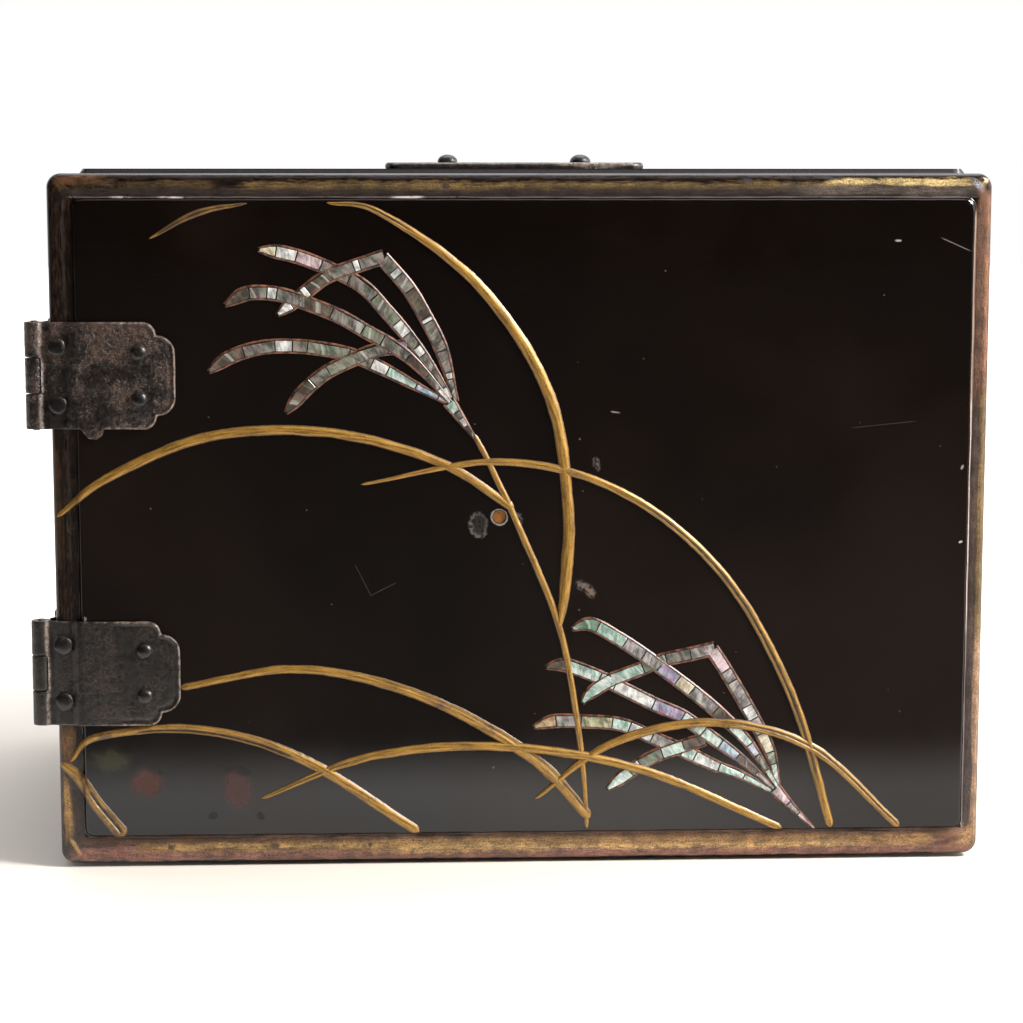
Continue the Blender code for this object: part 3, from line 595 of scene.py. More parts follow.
FIELD_MARKS = [
    ((70, 70, 42), 17.0, 34.5, 9, 5, 0, 0.8, 1.2, 0.42, 0, 0.3),
    ((10, 6, 5), 57.0, 31.0, 6.5, 2.6, -12, 0.8, 0.8, 0.8, 0, 0.6),
    ((12, 8, 6), 31.0, 31.0, 4.0, 1.8, -14, 0.7, 0.8, 0.8, 0, 0.6),
    ((80, 42, 32), 28.0, 26.9, 6.4, 5.4, 0, 0.5, 0.6, 0.75, 0.34, 0.4),
    ((76, 42, 40), 57.6, 24.5, 5.4, 7.4, 12, 0.4, 0.7, 0.7, 0.34, 0.4),
    # Pale mottled marks over dents: partly scuffed lacquer, partly painted highlights on the dents' rims
    ((120, 114, 108), 135.6, 110.5, 3.4, 4.8, 8, 0.25, 0.7, 0.55, 0.46, 0.5),
    ((10, 6, 4), 136.0, 110.9, 2.5, 3.9, 8, 0.3, 0.9, 0.8, 0.3, 0.4),
    ((130, 122, 114), 170.6, 89.6, 4.8, 2.2, -38, 0.6, 1.3, 0.6, 0.48, 0.55),
    ((126, 96, 76), 171.2, 89.0, 3.4, 1.0, -38, 0.6, 1.3, 0.5, 0.4, 0.5),
    ((120, 114, 108), 148.4, 112.6, 2.2, 2.0, -50, 0.7, 1.5, 0.5, 0.48, 0.5),
    ((120, 114, 108), 173.3, 130.3, 1.6, 3.0, 20, 0.6, 1.5, 0.45, 0.48, 0.5),
    ((190, 184, 176), 179.5, 146.8, 1.8, 0.35, -8, 0.5, 1.2, 0.4, 0.4, 0.5),
    # Pale ring round the lock's hole: partly a chipped rim, partly a painted highlight
    ((150, 146, 142), 142.4, 113.2, 2.95, 2.95, 0, 0.14, 0.35, 0.8, 0.38, 0.35),
    ((160, 150, 140), 9.3, 80.4, 0.8, 1.4, 0, 0.6, 1.8, 0.6, 0, 0.5),
    ((206, 200, 192), 291.8, 104.2, 0.9, 0.5, 20, 0.6, 1.8, 0.7, 0, 0.5),
    ((170, 166, 160), 291.8, 128.6, 1.0, 0.5, 60, 0.6, 1.8, 0.6, 0, 0.5),
    ((14, 11, 11), 49.5, 15.9, 2.0, 1.5, 20, 0.5, 1.4, 0.9, 0.42, 0.5),
    ((14, 11, 11), 64.5, 15.9, 2.2, 1.5, -20, 0.5, 1.4, 0.9, 0.42, 0.5),
    ((214, 216, 214), 269.7, 201.3, 1.4, 0.45, 0, 0.6, 1.6, 0.42, 0, 0.5),
]

# Hairlines and scratches on the field: two points and half the width in millimetres, and the strength
SCRATCHES = [
    ((283.8, 202.0), (292.6, 198.1), 0.2, 0.3),
    ((96, 98), (101, 88), 0.16, 0.08),
    ((101, 88), (109, 92), 0.16, 0.08),
    ((256, 141.5), (276, 143.5), 0.2, 0.06),
]


def specks(shade, scale, reach, share):
    """Small scattered dots: a few of many cells hold one."""
    distance, lot = shade.cells(scale)
    chosen = shade.step(lot, 1 - share, 1 - share + 0.02)
    return shade.times(shade.step(distance, reach, reach * 0.5), chosen)


def marked(shade, color, rough, marks, grit):
    """A colour and a roughness with marks on them."""
    for mark in map(Mark._make, marks):
        mask = shade.blob(mark.across * MM, mark.up * MM, mark.width * MM, mark.height * MM, mark.turn,
                          mark.soft, mark.uneven)
        mask = shade.times(mask, mark.strength)
        if mark.mottled:
            mask = shade.times(mask, shade.step(grit, mark.mottled - 0.05, mark.mottled + 0.05))
        color = shade.mix(mask, color, srgb(*mark.color))
        rough = shade.mixed(mask, rough, mark.dull)
    return color, rough


def speckled(shade, fine, color):
    """A colour with fine darker and lighter grains."""
    dark = srgb(*(value * (1 - GOLD_SPECKLE) for value in color))
    light = srgb(*(min(value * (1 + 0.5 * GOLD_SPECKLE), 255) for value in color))
    return shade.mix(shade.step(fine, 0.36, 0.64), dark, light)


def plain_lacquer(shade):
    """Black lacquer with faint clouds and an uneven polish: its colour, roughness and normal."""
    color = shade.mix(shade.step(shade.noise(7, 4, 0.55), 0.38, 0.66), BLACK, BLACK_WARM)
    rough = shade.step(shade.noise(28, 3, 0.6), 0.35, 0.7, 0.07, 0.14)
    swell = shade.bump(shade.noise(70, 2, 0.5), 0.03 * MM, 0.5)
    return color, rough, shade.bump(shade.noise(1500, 2, 0.5), 0.006 * MM, 0.6, swell)


def field_lacquer():
    """The door's field: black lacquer with the marks of use, partly painted highlights, hairlines and
    specks.
    """
    shade = Shade("field_lacquer")
    color, rough, normal = plain_lacquer(shade)
    color, rough = marked(shade, color, rough, FIELD_MARKS, shade.noise(1100, 4, 0.75))
    for start, end, width, strength in SCRATCHES:
        line = shade.stroke([v * MM for v in start], [v * MM for v in end], width * MM)
        color = shade.mix(shade.times(line, strength), color, SCRATCH)
    dots = shade.most(specks(shade, 110, 0.045, 0.10), specks(shade, 260, 0.075, 0.035))
    color = shade.mix(shade.times(dots, 0.22), color, SCRATCH)
    return shade.finish(color, rough, normal)


def in_rows(table):
    """Each side's stripes in turn."""
    return [(side, Stripe(*row)) for side, rows in table.items() for row in rows]


def border_lacquer():
    """The door's border: dark lacquer under stripes of gold and brown that wore off in patches."""
    shade = Shade("border_lacquer")
    far = {
        "left": shade.across,
        "right": shade.minus(DOOR_WIDTH, shade.across),
        "bottom": shade.up,
        "top": shade.minus(DOOR_HEIGHT, shade.up),
    }
    shares = {side: shade.math("DIVIDE", distance, BORDERS[side]) for side, distance in far.items()}
    own = {}
    for side, share in shares.items():
        others = shade.least(*(other for name, other in shares.items() if name != side))
        own[side] = shade.step(shade.minus(others, share), -0.35, 0.35)
    upright = shade.most(own["left"], own["right"])
    along = shade.mixed(upright, shade.across, shade.up)
    share = shade.least(*shares.values())

    def drawn_out(detail, roughness, *scales):
        """A noise with its own scale along the border, across it and between its sides."""
        spot = [shade.times(value, scale) for value, scale in zip((along, share, upright), scales)]
        return shade.noise(1.0, detail, roughness, shade.join(*spot))

    streak = drawn_out(5, 0.6, 55, 2.6, 7)
    thread = drawn_out(4, 0.7, 230, 11, 3)
    fine = shade.noise(2600, 3, 0.8)
    patches = shade.noise(120, 5, 0.7)
    shift = shade.plus(shade.scaled(streak, 0.5, -0.25), shade.scaled(thread, 0.3, -0.15))
    uneven_share = shade.plus(share, shift)
    uneven_along = shade.scaled(shift, 30 * MM, along)
    powder = shade.scaled(fine, 0.6, shade.times(thread, 0.4))
    ground = shade.mix(shade.step(thread, 0.35, 0.65), BORDER_DARK, BORDER_LIGHT)
    gold = 0.0
    for side, stripe in in_rows(STRIPES):
        gap = stripe.patchy * 0.72
        left_over = shade.step(patches, gap - 0.08, gap + 0.08)
        mask = shade.times(own[side], shade.band(uneven_share, stripe.low, stripe.high, stripe.soft),
                           shade.band(uneven_along, stripe.start * MM, stripe.stop * MM, 4 * MM), left_over,
                           stripe.strength)
        ground = shade.mix(mask, ground, speckled(shade, powder, stripe.color))
        gold = shade.most(gold, mask)
    cloudy = shade.step(patches, 0.62, 0.38, 0.0, 0.45)
    ground = shade.mix(cloudy, ground, BORDER_DARK)
    ground, ground_rough = marked(shade, ground, shade.mixed(gold, 0.2, 0.5), BORDER_MARKS, fine)

    color, rough, normal = plain_lacquer(shade)
    inside = shade.step(shade.least(*shares.values()), 0.98, 1.05)
    color = shade.mix(inside, ground, color)
    rough = shade.mixed(inside, ground_rough, rough)
    broken = shade.noise(260, 4, 0.65)
    # Painted highlights along the crest of the slope, on the right and top sides
    for side, line in in_rows(PAINTED_CREST_HIGHLIGHTS):
        distance = shade.scaled(streak, 0.8 * MM, shade.plus(far[side], -0.4 * MM))
        gap = line.patchy * 0.8
        mask = shade.times(own[side], shade.band(distance, line.low * MM, line.high * MM, line.soft * MM),
                           shade.band(along, line.start * MM, line.stop * MM, 2 * MM),
                           shade.step(broken, gap - 0.1, gap + 0.1), line.strength)
        color = shade.mix(mask, color, srgb(*line.color))
    return shade.finish(color, rough, shade.bump(powder, 0.12 * MM, gold, normal))


def case_lacquer():
    """The same lacquer on the case: black fields, borders worn to gold and brown."""
    shade = Shade("case_lacquer")
    from_side = shade.minus(CASE_SIDE, shade.math("ABSOLUTE", shade.x))
    from_front = shade.minus(shade.y, CASE_FRONT)
    from_back = shade.minus(CASE_BACK, shade.y)
    from_end = shade.least(from_front, from_back)
    from_top = shade.minus(CASE_TOP, shade.z)
    from_level = shade.least(from_top, shade.z)
    low = shade.least(from_side, from_end)
    high = shade.most(from_side, from_end)
    middle = shade.most(low, shade.least(high, from_level))
    share = shade.math("DIVIDE", middle, CASE_BORDER)
    border = shade.step(share, 1.1, 0.98)
    coarse = shade.noise(38, 4, 0.6)
    fine = shade.noise(900, 3, 0.7)
    ground = shade.mix(shade.step(coarse, 0.3, 0.7), BORDER_DARK, BORDER_LIGHT)
    seen = shade.step(from_front, 0.5 * MM, 1.5 * MM, 0.15, 1.0)
    gold = shade.times(shade.band(share, 0.24, 0.62, 0.1), shade.step(coarse, 0.42, 0.6), fine, seen, 1.3)
    ground = shade.mix(gold, ground, GOLD_PAINT)
    edge = shade.times(shade.step(share, 0.2, 0.03), shade.step(coarse, 0.45, 0.62), 0.8)
    ground = shade.mix(edge, ground, BARE_WOOD)
    # Painted highlight: the top field's front slope drawn lighter grey, as where it catches light from above
    slope = shade.times(shade.band(from_front, CASE_BORDER - 0.1 * MM, CASE_BORDER + 0.9 * MM, 0.1 * MM),
                        shade.step(shade.z, CASE_TOP - 0.1 * MM, CASE_TOP + 0.3 * MM))
    warm = shade.mix(shade.noise(9, 3, 0.5), BLACK, BLACK_WARM)
    dots = shade.most(specks(shade, 60, 0.035, 0.12), specks(shade, 170, 0.06, 0.05))
    field = shade.mix(shade.times(dots, 0.4), warm, srgb(150, 140, 128))
    color = shade.mix(border, field, ground)
    color = shade.mix(shade.times(slope, 0.9), color, shade.mix(fine, srgb(28, 25, 28), srgb(62, 58, 62)))
    rough = shade.mixed(border, shade.mixed(coarse, 0.1, 0.2), 0.36)
    swell = shade.bump(shade.noise(60, 2, 0.5), 0.05 * MM, 0.6)
    normal = shade.bump(shade.noise(1300, 2, 0.5), 0.008 * MM, 0.7, swell)
    return shade.finish(color, rough, normal)


def inside_lacquer():
    """The plain inside: duller black-brown lacquer with brush marks."""
    shade = Shade("inside_lacquer")
    stretched = shade.join(shade.times(shade.x, 0.15), shade.y, shade.z)
    brush = shade.noise(420, 3, 0.6, stretched)
    cloud = shade.noise(14, 3, 0.5)
    color = shade.mix(shade.step(cloud, 0.3, 0.7), srgb(24, 16, 12), srgb(40, 27, 20))
    rough = shade.mixed(brush, 0.28, 0.44)
    normal = shade.bump(brush, 0.02 * MM, 0.6)
    return shade.finish(color, rough, normal, ior=1.5)


def bare_ground():
    """The orange-brown ground at the bottom of the lock's hole."""
    shade = Shade("bare_ground")
    cloud = shade.noise(900, 3, 0.6)
    color = shade.mix(cloud, srgb(112, 64, 14), srgb(164, 100, 30))
    normal = shade.bump(cloud, 0.1 * MM, 0.8)
    return shade.finish(color, 0.55, normal, ior=1.5)


def gold_relief():
    """Gold powder on raised lacquer: brown on worn edges and patches, black at the bottom of its grooves."""
    shade = Shade("gold_relief")
    along, across = shade.route()
    worn = shade.value("worn")
    streaks = shade.noise(1.0, 4, 0.6, shade.join(shade.times(along, 110), shade.times(across, 2.6), 0.0))
    powder = shade.noise(2500, 3, 0.7)
    cloud = shade.noise(130, 4, 0.65)
    color = shade.mix(shade.step(streaks, 0.34, 0.66), srgb(104, 70, 12), srgb(186, 138, 48))
    color = shade.mix(shade.times(shade.step(powder, 0.42, 0.72), 0.35), color, srgb(226, 188, 104))
    width = shade.math("ABSOLUTE", across)
    edge = shade.plus(width, shade.scaled(streaks, 0.5, shade.times(worn, 0.35)))
    browned = shade.most(shade.step(edge, 1.02, 1.3),
                         shade.step(shade.scaled(worn, 0.5, cloud), 0.72, 0.92))
    color = shade.mix(shade.times(browned, 0.85), color, srgb(74, 44, 18))
    pits = shade.times(shade.step(shade.noise(620, 3, 0.6), 0.66, 0.72), shade.step(cloud, 0.46, 0.6))
    groove = shade.times(shade.value("groove"), shade.step(shade.plus(streaks, cloud), 0.66, 0.84))
    dark = shade.most(groove, shade.times(pits, 0.8))
    color = shade.mix(dark, color, srgb(26, 15, 9))
    rough = shade.mixed(streaks, 0.34, 0.5)
    height = shade.plus(shade.times(powder, 0.4), streaks)
    normal = shade.bump(height, 0.05 * MM, 0.8)
    metal = shade.mixed(shade.most(browned, dark), 0.35, 0.05)
    return shade.finish(color, rough, normal, 1.7, metal, 0.1, 0.25)


def rim_lacquer():
    """The reddish-brown lacquer that frames the shell, dark in the channel."""
    shade = Shade("rim_lacquer")
    _, across = shade.route()
    cloud = shade.noise(420, 4, 0.65)
    color = shade.mix(shade.step(cloud, 0.36, 0.64), srgb(40, 22, 15), srgb(132, 84, 60))
    channel = shade.step(shade.math("ABSOLUTE", across), 0.68, 0.62)
    color = shade.mix(channel, color, srgb(24, 13, 9))
    normal = shade.bump(cloud, 0.1 * MM, 0.9)
    return shade.finish(color, shade.mixed(cloud, 0.2, 0.5), normal)


def shell(kind):
    """Mother-of-pearl of one kind: bands of light across each tile, painted glints and a faint play of
    colours.
    """
    main, light, play = SHELL_KINDS[kind]
    shade = Shade("shell_" + kind)
    along, across = shade.route()
    tile = shade.value("tile")
    skew = shade.scaled(across, 0.0006, along)
    narrow = shade.noise(1.0, 3, 0.65, shade.join(shade.times(skew, 1000), shade.times(across, 0.4), tile),
                         0.4)
    wide = shade.noise(1.0, 2, 0.5, shade.join(shade.times(skew, 330), shade.times(across, 0.5), tile))
    bands = shade.scaled(narrow, 0.45, shade.times(wide, 0.55))
    color = shade.mix(shade.step(bands, 0.38, 0.64), srgb(*main), srgb(*light))
    cloud = shade.noise(1.0, 2, 0.5, shade.join(shade.times(along, 260), shade.times(across, 0.9), tile))
    hue = shade.mix(shade.step(cloud, 0.42, 0.6), srgb(120, 206, 176), srgb(214, 150, 196))
    color = shade.mix(play, color, hue)
    # Painted glints: thin near-white stripes across the tiles
    glint = shade.step(shade.noise(1.0, 1, 0.5, shade.join(shade.times(skew, 430), 0.0, tile)), 0.62, 0.68)
    color = shade.mix(shade.times(glint, 0.35), color, srgb(238, 242, 238))
    pores = shade.step(shade.noise(1900, 2, 0.6), 0.64, 0.7)
    color = shade.mix(shade.times(pores, 0.6), color, srgb(60, 44, 36))
    normal = shade.bump(bands, 0.05 * MM, 0.8)
    return shade.finish(color, shade.mixed(bands, 0.14, 0.34), normal, 1.6, 0.15, 0.5)


# Irons: a dark, a light and a rusty colour, the share of rust, the depth of pits, how strong the pale lines
# are, which are partly painted glints, and how polished it is
Iron = namedtuple("Iron", "dark light brown brown_share depth crust polish")
IRONS = {
    "rusty_iron": Iron((12, 9, 8), (40, 31, 28), (70, 49, 38), 0.10, 0.7 * MM, 0.55, 0.22),
    "grey_iron": Iron((21, 18, 16), (42, 37, 34), (50, 39, 33), 0.06, 0.2 * MM, 0.22, 0.24),
    "nail_iron": Iron((9, 8, 8), (24, 20, 20), (34, 26, 23), 0.02, 0.05 * MM, 0.3, 0.22),
}


def forged_iron(name):
    """Forged iron: pitted, crusty in patches, with brown rust, bright worn edges, painted shade, highlights
    and glints.
    """
    shade = Shade(name)
    iron = IRONS[name]
    wear_and_painted_light = shade.value("wear_and_painted_light")
    patch = shade.noise(88, 4, 0.6)
    middle = shade.noise(480, 5, 0.75)
    grit = shade.noise(1500, 3, 0.8)
    rough_part = shade.step(patch, 0.40, 0.54)
    color = shade.mix(shade.step(middle, 0.40, 0.62), srgb(*iron.dark), srgb(*iron.light))
    browned = shade.times(shade.step(patch, 0.60 - iron.brown_share, 0.66 - iron.brown_share),
                          shade.step(grit, 0.3, 0.55))
    color = shade.mix(shade.times(browned, 0.8), color, srgb(*iron.brown))
    lines = shade.noise(560, 4, 0.6)
    # Pale crusty lines, partly painted glints
    crust_glints = shade.step(shade.math("ABSOLUTE", shade.minus(lines, 0.5)), 0.032, 0.008)
    crust_glints = shade.times(crust_glints, shade.mixed(rough_part, 0.25, 1.0), shade.step(grit, 0.40, 0.56),
                         iron.crust)
    color = shade.mix(crust_glints, color, srgb(122, 102, 88))
    holes = shade.times(shade.step(lines, 0.42, 0.34), shade.mixed(rough_part, 0.4, 1.0))
    color = shade.mix(shade.times(holes, 0.85), color, srgb(9, 7, 6))
    # Darker where this value is below zero: painted shade behind a leaf's bend; nail tops and pit bottoms
    # darken too
    painted_shade = shade.step(wear_and_painted_light, -0.1, -0.7)
    color = shade.mix(shade.times(painted_shade, 0.8), color, srgb(10, 7, 6))
    # Lighter where the value is high: worn edges, nail rims, and painted highlights along the barrels and on
    # the plate
    worn = shade.times(shade.step(wear_and_painted_light, 0.25, 0.75), shade.step(middle, 0.40, 0.58, 0.2, 1.0))
    color = shade.mix(shade.times(worn, 0.85), color, srgb(146, 130, 120))
    # Painted glints: white specks on the worn and highlighted parts
    glint = shade.times(shade.step(wear_and_painted_light, 0.35, 0.8), shade.step(grit, 0.60, 0.66))
    color = shade.mix(shade.times(glint, 0.8), color, srgb(226, 218, 212))
    rough = shade.mixed(grit, iron.polish, iron.polish + 0.25)
    height = shade.scaled(grit, 0.4, lines)
    normal = shade.bump(height, iron.depth, shade.mixed(rough_part, 0.4, 1.0))
    return shade.finish(color, rough, normal, 1.6)


# Mesh helpers

def mesh_of(bm, name):
    """A mesh from a bmesh, which is freed."""
    mesh = bpy.data.meshes.new(name)
    bm.to_mesh(mesh)
    bm.free()
    return mesh


def linked(name, data):
    """A new object in the scene."""
    thing = bpy.data.objects.new(name, data)
    bpy.context.scene.collection.objects.link(thing)
    return thing


def mark_points(mesh, name, values):
    """Keep one value for each point, which materials read by its name."""
    mesh.attributes.new(name, "FLOAT", "POINT").data.foreach_set("value", np.array(values, np.float32))


def mesh_places(mesh):
    places = np.zeros(len(mesh.vertices) * 3)
    mesh.vertices.foreach_get("co", places)
    return places.reshape(-1, 3)


def move_points(mesh, places):
    mesh.vertices.foreach_set("co", places.ravel())


def bevel(bm, edges, width, segments):
    bmesh.ops.bevel(bm, geom=edges, offset=width, segments=segments, profile=0.5, affect="EDGES")


def block(size, middle=(0, 0, 0)):
    """A box as a bmesh."""
    bm = bmesh.new()
    bmesh.ops.create_cube(bm, size=1)
    matrix = Matrix.Translation(middle) @ Matrix.Diagonal((*size, 1))
    bmesh.ops.transform(bm, matrix=matrix, verts=bm.verts)
    return bm


def edges_along(bm, axis):
    return [e for e in bm.edges if abs((e.verts[0].co - e.verts[1].co).normalized()[axis]) > 0.99]


def hump(values, middle, width):
    """1 at the middle, falling smoothly to both sides."""
    return np.exp(-((values - middle) / width) ** 2)


def new_piece(name, mesh, materials, body, slot, *nodes):
    """Link a mesh as a piece that rides on a body and stands for CAD nodes."""
    piece = linked(name, mesh)
    for material in materials:
        mesh.materials.append(material)
    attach(piece, body)
    if nodes:
        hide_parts(*nodes)


def applied(bm, build_modifiers, *helpers):
    """A mesh with modifiers applied. The helpers are objects that the modifiers use."""
    work = linked("work", mesh_of(bm, "work"))
    build_modifiers(work)
    bpy.context.view_layer.update()
    evaluated = work.evaluated_get(bpy.context.evaluated_depsgraph_get())
    result = bpy.data.meshes.new_from_object(evaluated)
    for extra in (work, *helpers):
        bpy.data.objects.remove(extra)
    return result


def boolean(work, operation, helper):
    modifier = work.modifiers.new(operation.lower(), "BOOLEAN")
    modifier.operation = operation
    modifier.object = helper


def smoothed(mesh, sharp=None):
    """Shade a mesh smoothly, apart from edges sharper than an angle in degrees."""
    mesh.shade_smooth()
    if sharp:
        mesh.set_sharp_from_angle(angle=math.radians(sharp))


def outward(bm):
    """Turn all faces outward."""
    bmesh.ops.recalc_face_normals(bm, faces=bm.faces)


def ring_mesh(name, strips):
    """Closed bands in one mesh. Each strip is rings of points, with distances along and places across."""
    verts, faces, maps, tiles, kinds = [], [], [], [], []
    for rings, along, across, tile, kind in strips:
        count, around = rings.shape[:2]
        base = len(verts)
        verts += rings.reshape(-1, 3).tolist()
        for i in range(count):
            maps += [(along[i], place) for place in across]
        tiles += [tile] * (count * around)
        for i in range(count - 1):
            for j in range(around):
                k = (j + 1) % around
                low, high = base + i * around, base + (i + 1) * around
                faces.append((low + j, low + k, high + k, high + j))
                kinds.append(kind)
        faces.append(tuple(base + j for j in reversed(range(around))))
        faces.append(tuple(base + (count - 1) * around + j for j in range(around)))
        kinds += [kind, kind]
    mesh = bpy.data.meshes.new(name)
    mesh.from_pydata(verts, [], faces)
    mesh.polygons.foreach_set("material_index", kinds)
    layer = mesh.uv_layers.new(name="along")
    corner_verts = np.zeros(len(mesh.loops), int)
    mesh.loops.foreach_get("vertex_index", corner_verts)
    layer.uv.foreach_set("vector", np.array(maps, np.float32)[corner_verts].ravel())
    mark_points(mesh, "tile", tiles)
    bm = bmesh.new()
    bm.from_mesh(mesh)
    outward(bm)
    bm.to_mesh(mesh)
    bm.free()
    return mesh


def smooth_step(value, start, stop):
    share = np.clip((value - start) / (stop - start), 0, 1)
    return share * share * (3 - 2 * share)


# The door's surface

def rounded_box(across, up, low, high, radius):
    """How far points lie inside a rectangle with round corners."""
    low, high = np.array(low), np.array(high)
    middle, half = (low + high) / 2, (high - low) / 2
    dx = np.abs(across - middle[0]) - (half[0] - radius)
    dz = np.abs(up - middle[1]) - (half[1] - radius)
    outside = np.hypot(np.maximum(dx, 0), np.maximum(dz, 0))
    return radius - outside - np.minimum(np.maximum(dx, dz), 0)


def wavy(across, up, length):
    """Slow uneven waves between -1 and 1."""
    a = np.sin(across / length * 2.1 + 1.3) * np.sin(up / length * 1.7 + 0.4)
    b = np.sin(across / length * 4.3 - up / length * 3.1 + 2.2)
    return 0.65 * a + 0.35 * b


# Dents: across, up, half width, half height and depth in millimetres
DENTS = [
    (135.6, 110.5, 2.6, 4.2, 0.16), (170.2, 89.3, 3.6, 2.0, 0.12), (49.5, 15.9, 1.5, 1.2, 0.2),
    (64.5, 15.9, 2.0, 1.4, 0.22), (275.4, 15.2, 2.0, 1.6, 0.2), (206.2, 149.3, 1.4, 0.8, 0.12),
    (236.0, 157.5, 0.9, 0.7, 0.1), (144.6, 22.0, 1.0, 0.8, 0.18), (28.8, 26.9, 3.8, 4.0, 0.06),
    (58.0, 23.6, 3.4, 6.2, 0.06), (148.4, 112.0, 1.6, 1.4, 0.1),
]


def surface(across, up):
    """How far the door's surface stands in front of its flat front, from the lower left corner in metres."""
    outer = rounded_box(across, up, (0, 0), (DOOR_WIDTH, DOOR_HEIGHT), DOOR_CORNER)
    foot = (BORDER_LEFT, BORDER_BOTTOM)
    head = (DOOR_WIDTH - BORDER_RIGHT, DOOR_HEIGHT - BORDER_TOP)
    field = rounded_box(across, up, foot, head, FIELD_CORNER) + HAND_WOBBLE * wavy(across, up, 9 * MM)
    inset = DOOR_EDGE - np.clip(outer, 0, DOOR_EDGE)
    drop = DOOR_EDGE - np.sqrt(DOOR_EDGE ** 2 - inset ** 2)
    share = np.clip(field / FIELD_SLOPE, 0, 1)
    rise = FIELD_RISE * (0.35 * share + 0.65 * share ** 2 * (3 - 2 * share))
    groove = FOOT_GROOVE * hump(field, 0, FOOT_GROOVE_WIDTH)
    border = np.clip(outer / np.maximum(outer - np.minimum(field, 0), 0.1 * MM), 0, 1)
    roll = BORDER_ROLL * np.sin(math.pi * border) * (field < 0)
    depth = rise + roll - drop - groove + 0.02 * MM * wavy(across, up, 30 * MM) * share
    for x, z, half_width, half_height, deep in DENTS:
        reach = ((across / MM - x) / half_width) ** 2 + ((up / MM - z) / half_height) ** 2
        depth = depth - deep * MM * np.exp(-1.5 * reach ** 2)
    return depth


def on_door(across, up, height):
    """World points from the door's lower left corner and the height in front of its flat front."""
    return np.stack([DOOR_LOW.x + across, DOOR_FRONT - height, DOOR_LOW.z + up], axis=-1)


def ring_on_door(spot, heights, foot):
    """A ring of points over the door's surface, closed by two points below its ends."""
    base = surface(spot[:, 0], spot[:, 1])
    top = on_door(spot[:, 0], spot[:, 1], base + heights)
    low = on_door(spot[[-1, 0], 0], spot[[-1, 0], 1], base[[-1, 0]] + foot)
    return np.vstack([top, low])


def border_lines(width):
    """Distances from an outer edge at which the door's mesh has a line."""
    turn = np.radians(np.arange(0, 90, 10))
    fine = np.arange(DOOR_EDGE, width + FIELD_SLOPE + 2 * FINE_LINES, FINE_LINES)
    return np.concatenate([DOOR_EDGE * (1 - np.cos(turn)), fine])


def door_lines(size, first, last):
    """Lines from one outer edge to the other: fine over the borders, coarse over the field."""
    start, stop = border_lines(first), size - border_lines(last)[::-1]
    count = int((stop[0] - start[-1]) / COARSE_LINES)
    inner = np.linspace(start[-1], stop[0], count + 1)[1:-1]
    return np.concatenate([start, inner, stop])


def round_corner(across, up, size_x, size_z, radius):
    """Pull the points of each corner's square into a round corner."""
    for far_x in (False, True):
        for far_z in (False, True):
            dx = radius - (size_x - across if far_x else across)
            dz = radius - (size_z - up if far_z else up)
            near = (dx > 0) & (dz > 0)
            most = np.maximum(dx, dz)
            shrink = np.where(near, most / np.maximum(np.hypot(dx, dz), TINY), 1)
            new_x, new_z = radius - dx * shrink, radius - dz * shrink
            across = np.where(near, size_x - new_x if far_x else new_x, across)
            up = np.where(near, size_z - new_z if far_z else new_z, up)
    return across, up


def board_skin():
    """The door's board as a bmesh: the dense grid of its front, rings round its edge and a flat back."""
    lines_x = door_lines(DOOR_WIDTH, BORDER_LEFT, BORDER_RIGHT)
    lines_z = door_lines(DOOR_HEIGHT, BORDER_BOTTOM, BORDER_TOP)
    across, up = np.meshgrid(lines_x, lines_z)
    across, up = round_corner(across, up, DOOR_WIDTH, DOOR_HEIGHT, DOOR_CORNER)
    rows, columns = across.shape
    verts = on_door(across, up, surface(across, up)).reshape(-1, 3).tolist()
    index = np.arange(rows * columns).reshape(rows, columns)
    low_left, low_right = index[:-1, :-1].ravel(), index[:-1, 1:].ravel()
    high_left, high_right = index[1:, :-1].ravel(), index[1:, 1:].ravel()
    faces = np.stack([low_left, low_right, high_right, high_left], axis=1).tolist()
    rim = list(index[0, :-1]) + list(index[:-1, -1]) + list(index[-1, :0:-1]) + list(index[:0:-1, 0])
    middle = np.array([DOOR_WIDTH / 2, DOOR_HEIGHT / 2])
    flat = np.stack([across.ravel()[rim], up.ravel()[rim]], axis=1)
    core = np.clip(flat, DOOR_CORNER, 2 * middle - DOOR_CORNER)
    away = (flat - core) / np.maximum(np.linalg.norm(flat - core, axis=1), TINY)[:, None]
    rings = [rim]
    soft = DOOR_BACK_EDGE
    for inset, before_back in ((0, soft), (0.3 * soft, 0.3 * soft), (soft, 0), (2 * soft, 0)):
        ring = flat - away * inset
        start = len(verts)
        depth = np.full(len(ring), before_back - DOOR_THICKNESS)
        verts += on_door(ring[:, 0], ring[:, 1], depth).tolist()
        rings.append(list(range(start, start + len(ring))))
    for first, second in zip(rings, rings[1:]):
        for i in range(len(first)):
            k = (i + 1) % len(first)
            faces.append((first[i], second[i], second[k], first[k]))
    faces.append(tuple(reversed(rings[-1])))
    mesh = bpy.data.meshes.new("door")
    mesh.from_pydata(verts, [], faces)
    bm = bmesh.new()
    bm.from_mesh(mesh)
    outward(bm)
    return bm


def hole_plug(back_radius, front_radius, depth, sides, behind=0):
    """A round plug on the axis of the lock's hole, as far behind the field as asked."""
    bm = bmesh.new()
    bmesh.ops.create_cone(bm, cap_ends=True, segments=sides, radius1=back_radius, radius2=front_radius,
                          depth=depth)
    turn = Matrix.Rotation(math.pi / 2, 4, "X")
    place = (DOOR_LOW.x + LOCK_HOLE[0], DOOR_FRONT - FIELD_RISE + behind, DOOR_LOW.z + LOCK_HOLE[1])
    bmesh.ops.transform(bm, matrix=Matrix.Translation(place) @ turn, verts=bm.verts)
    return bm


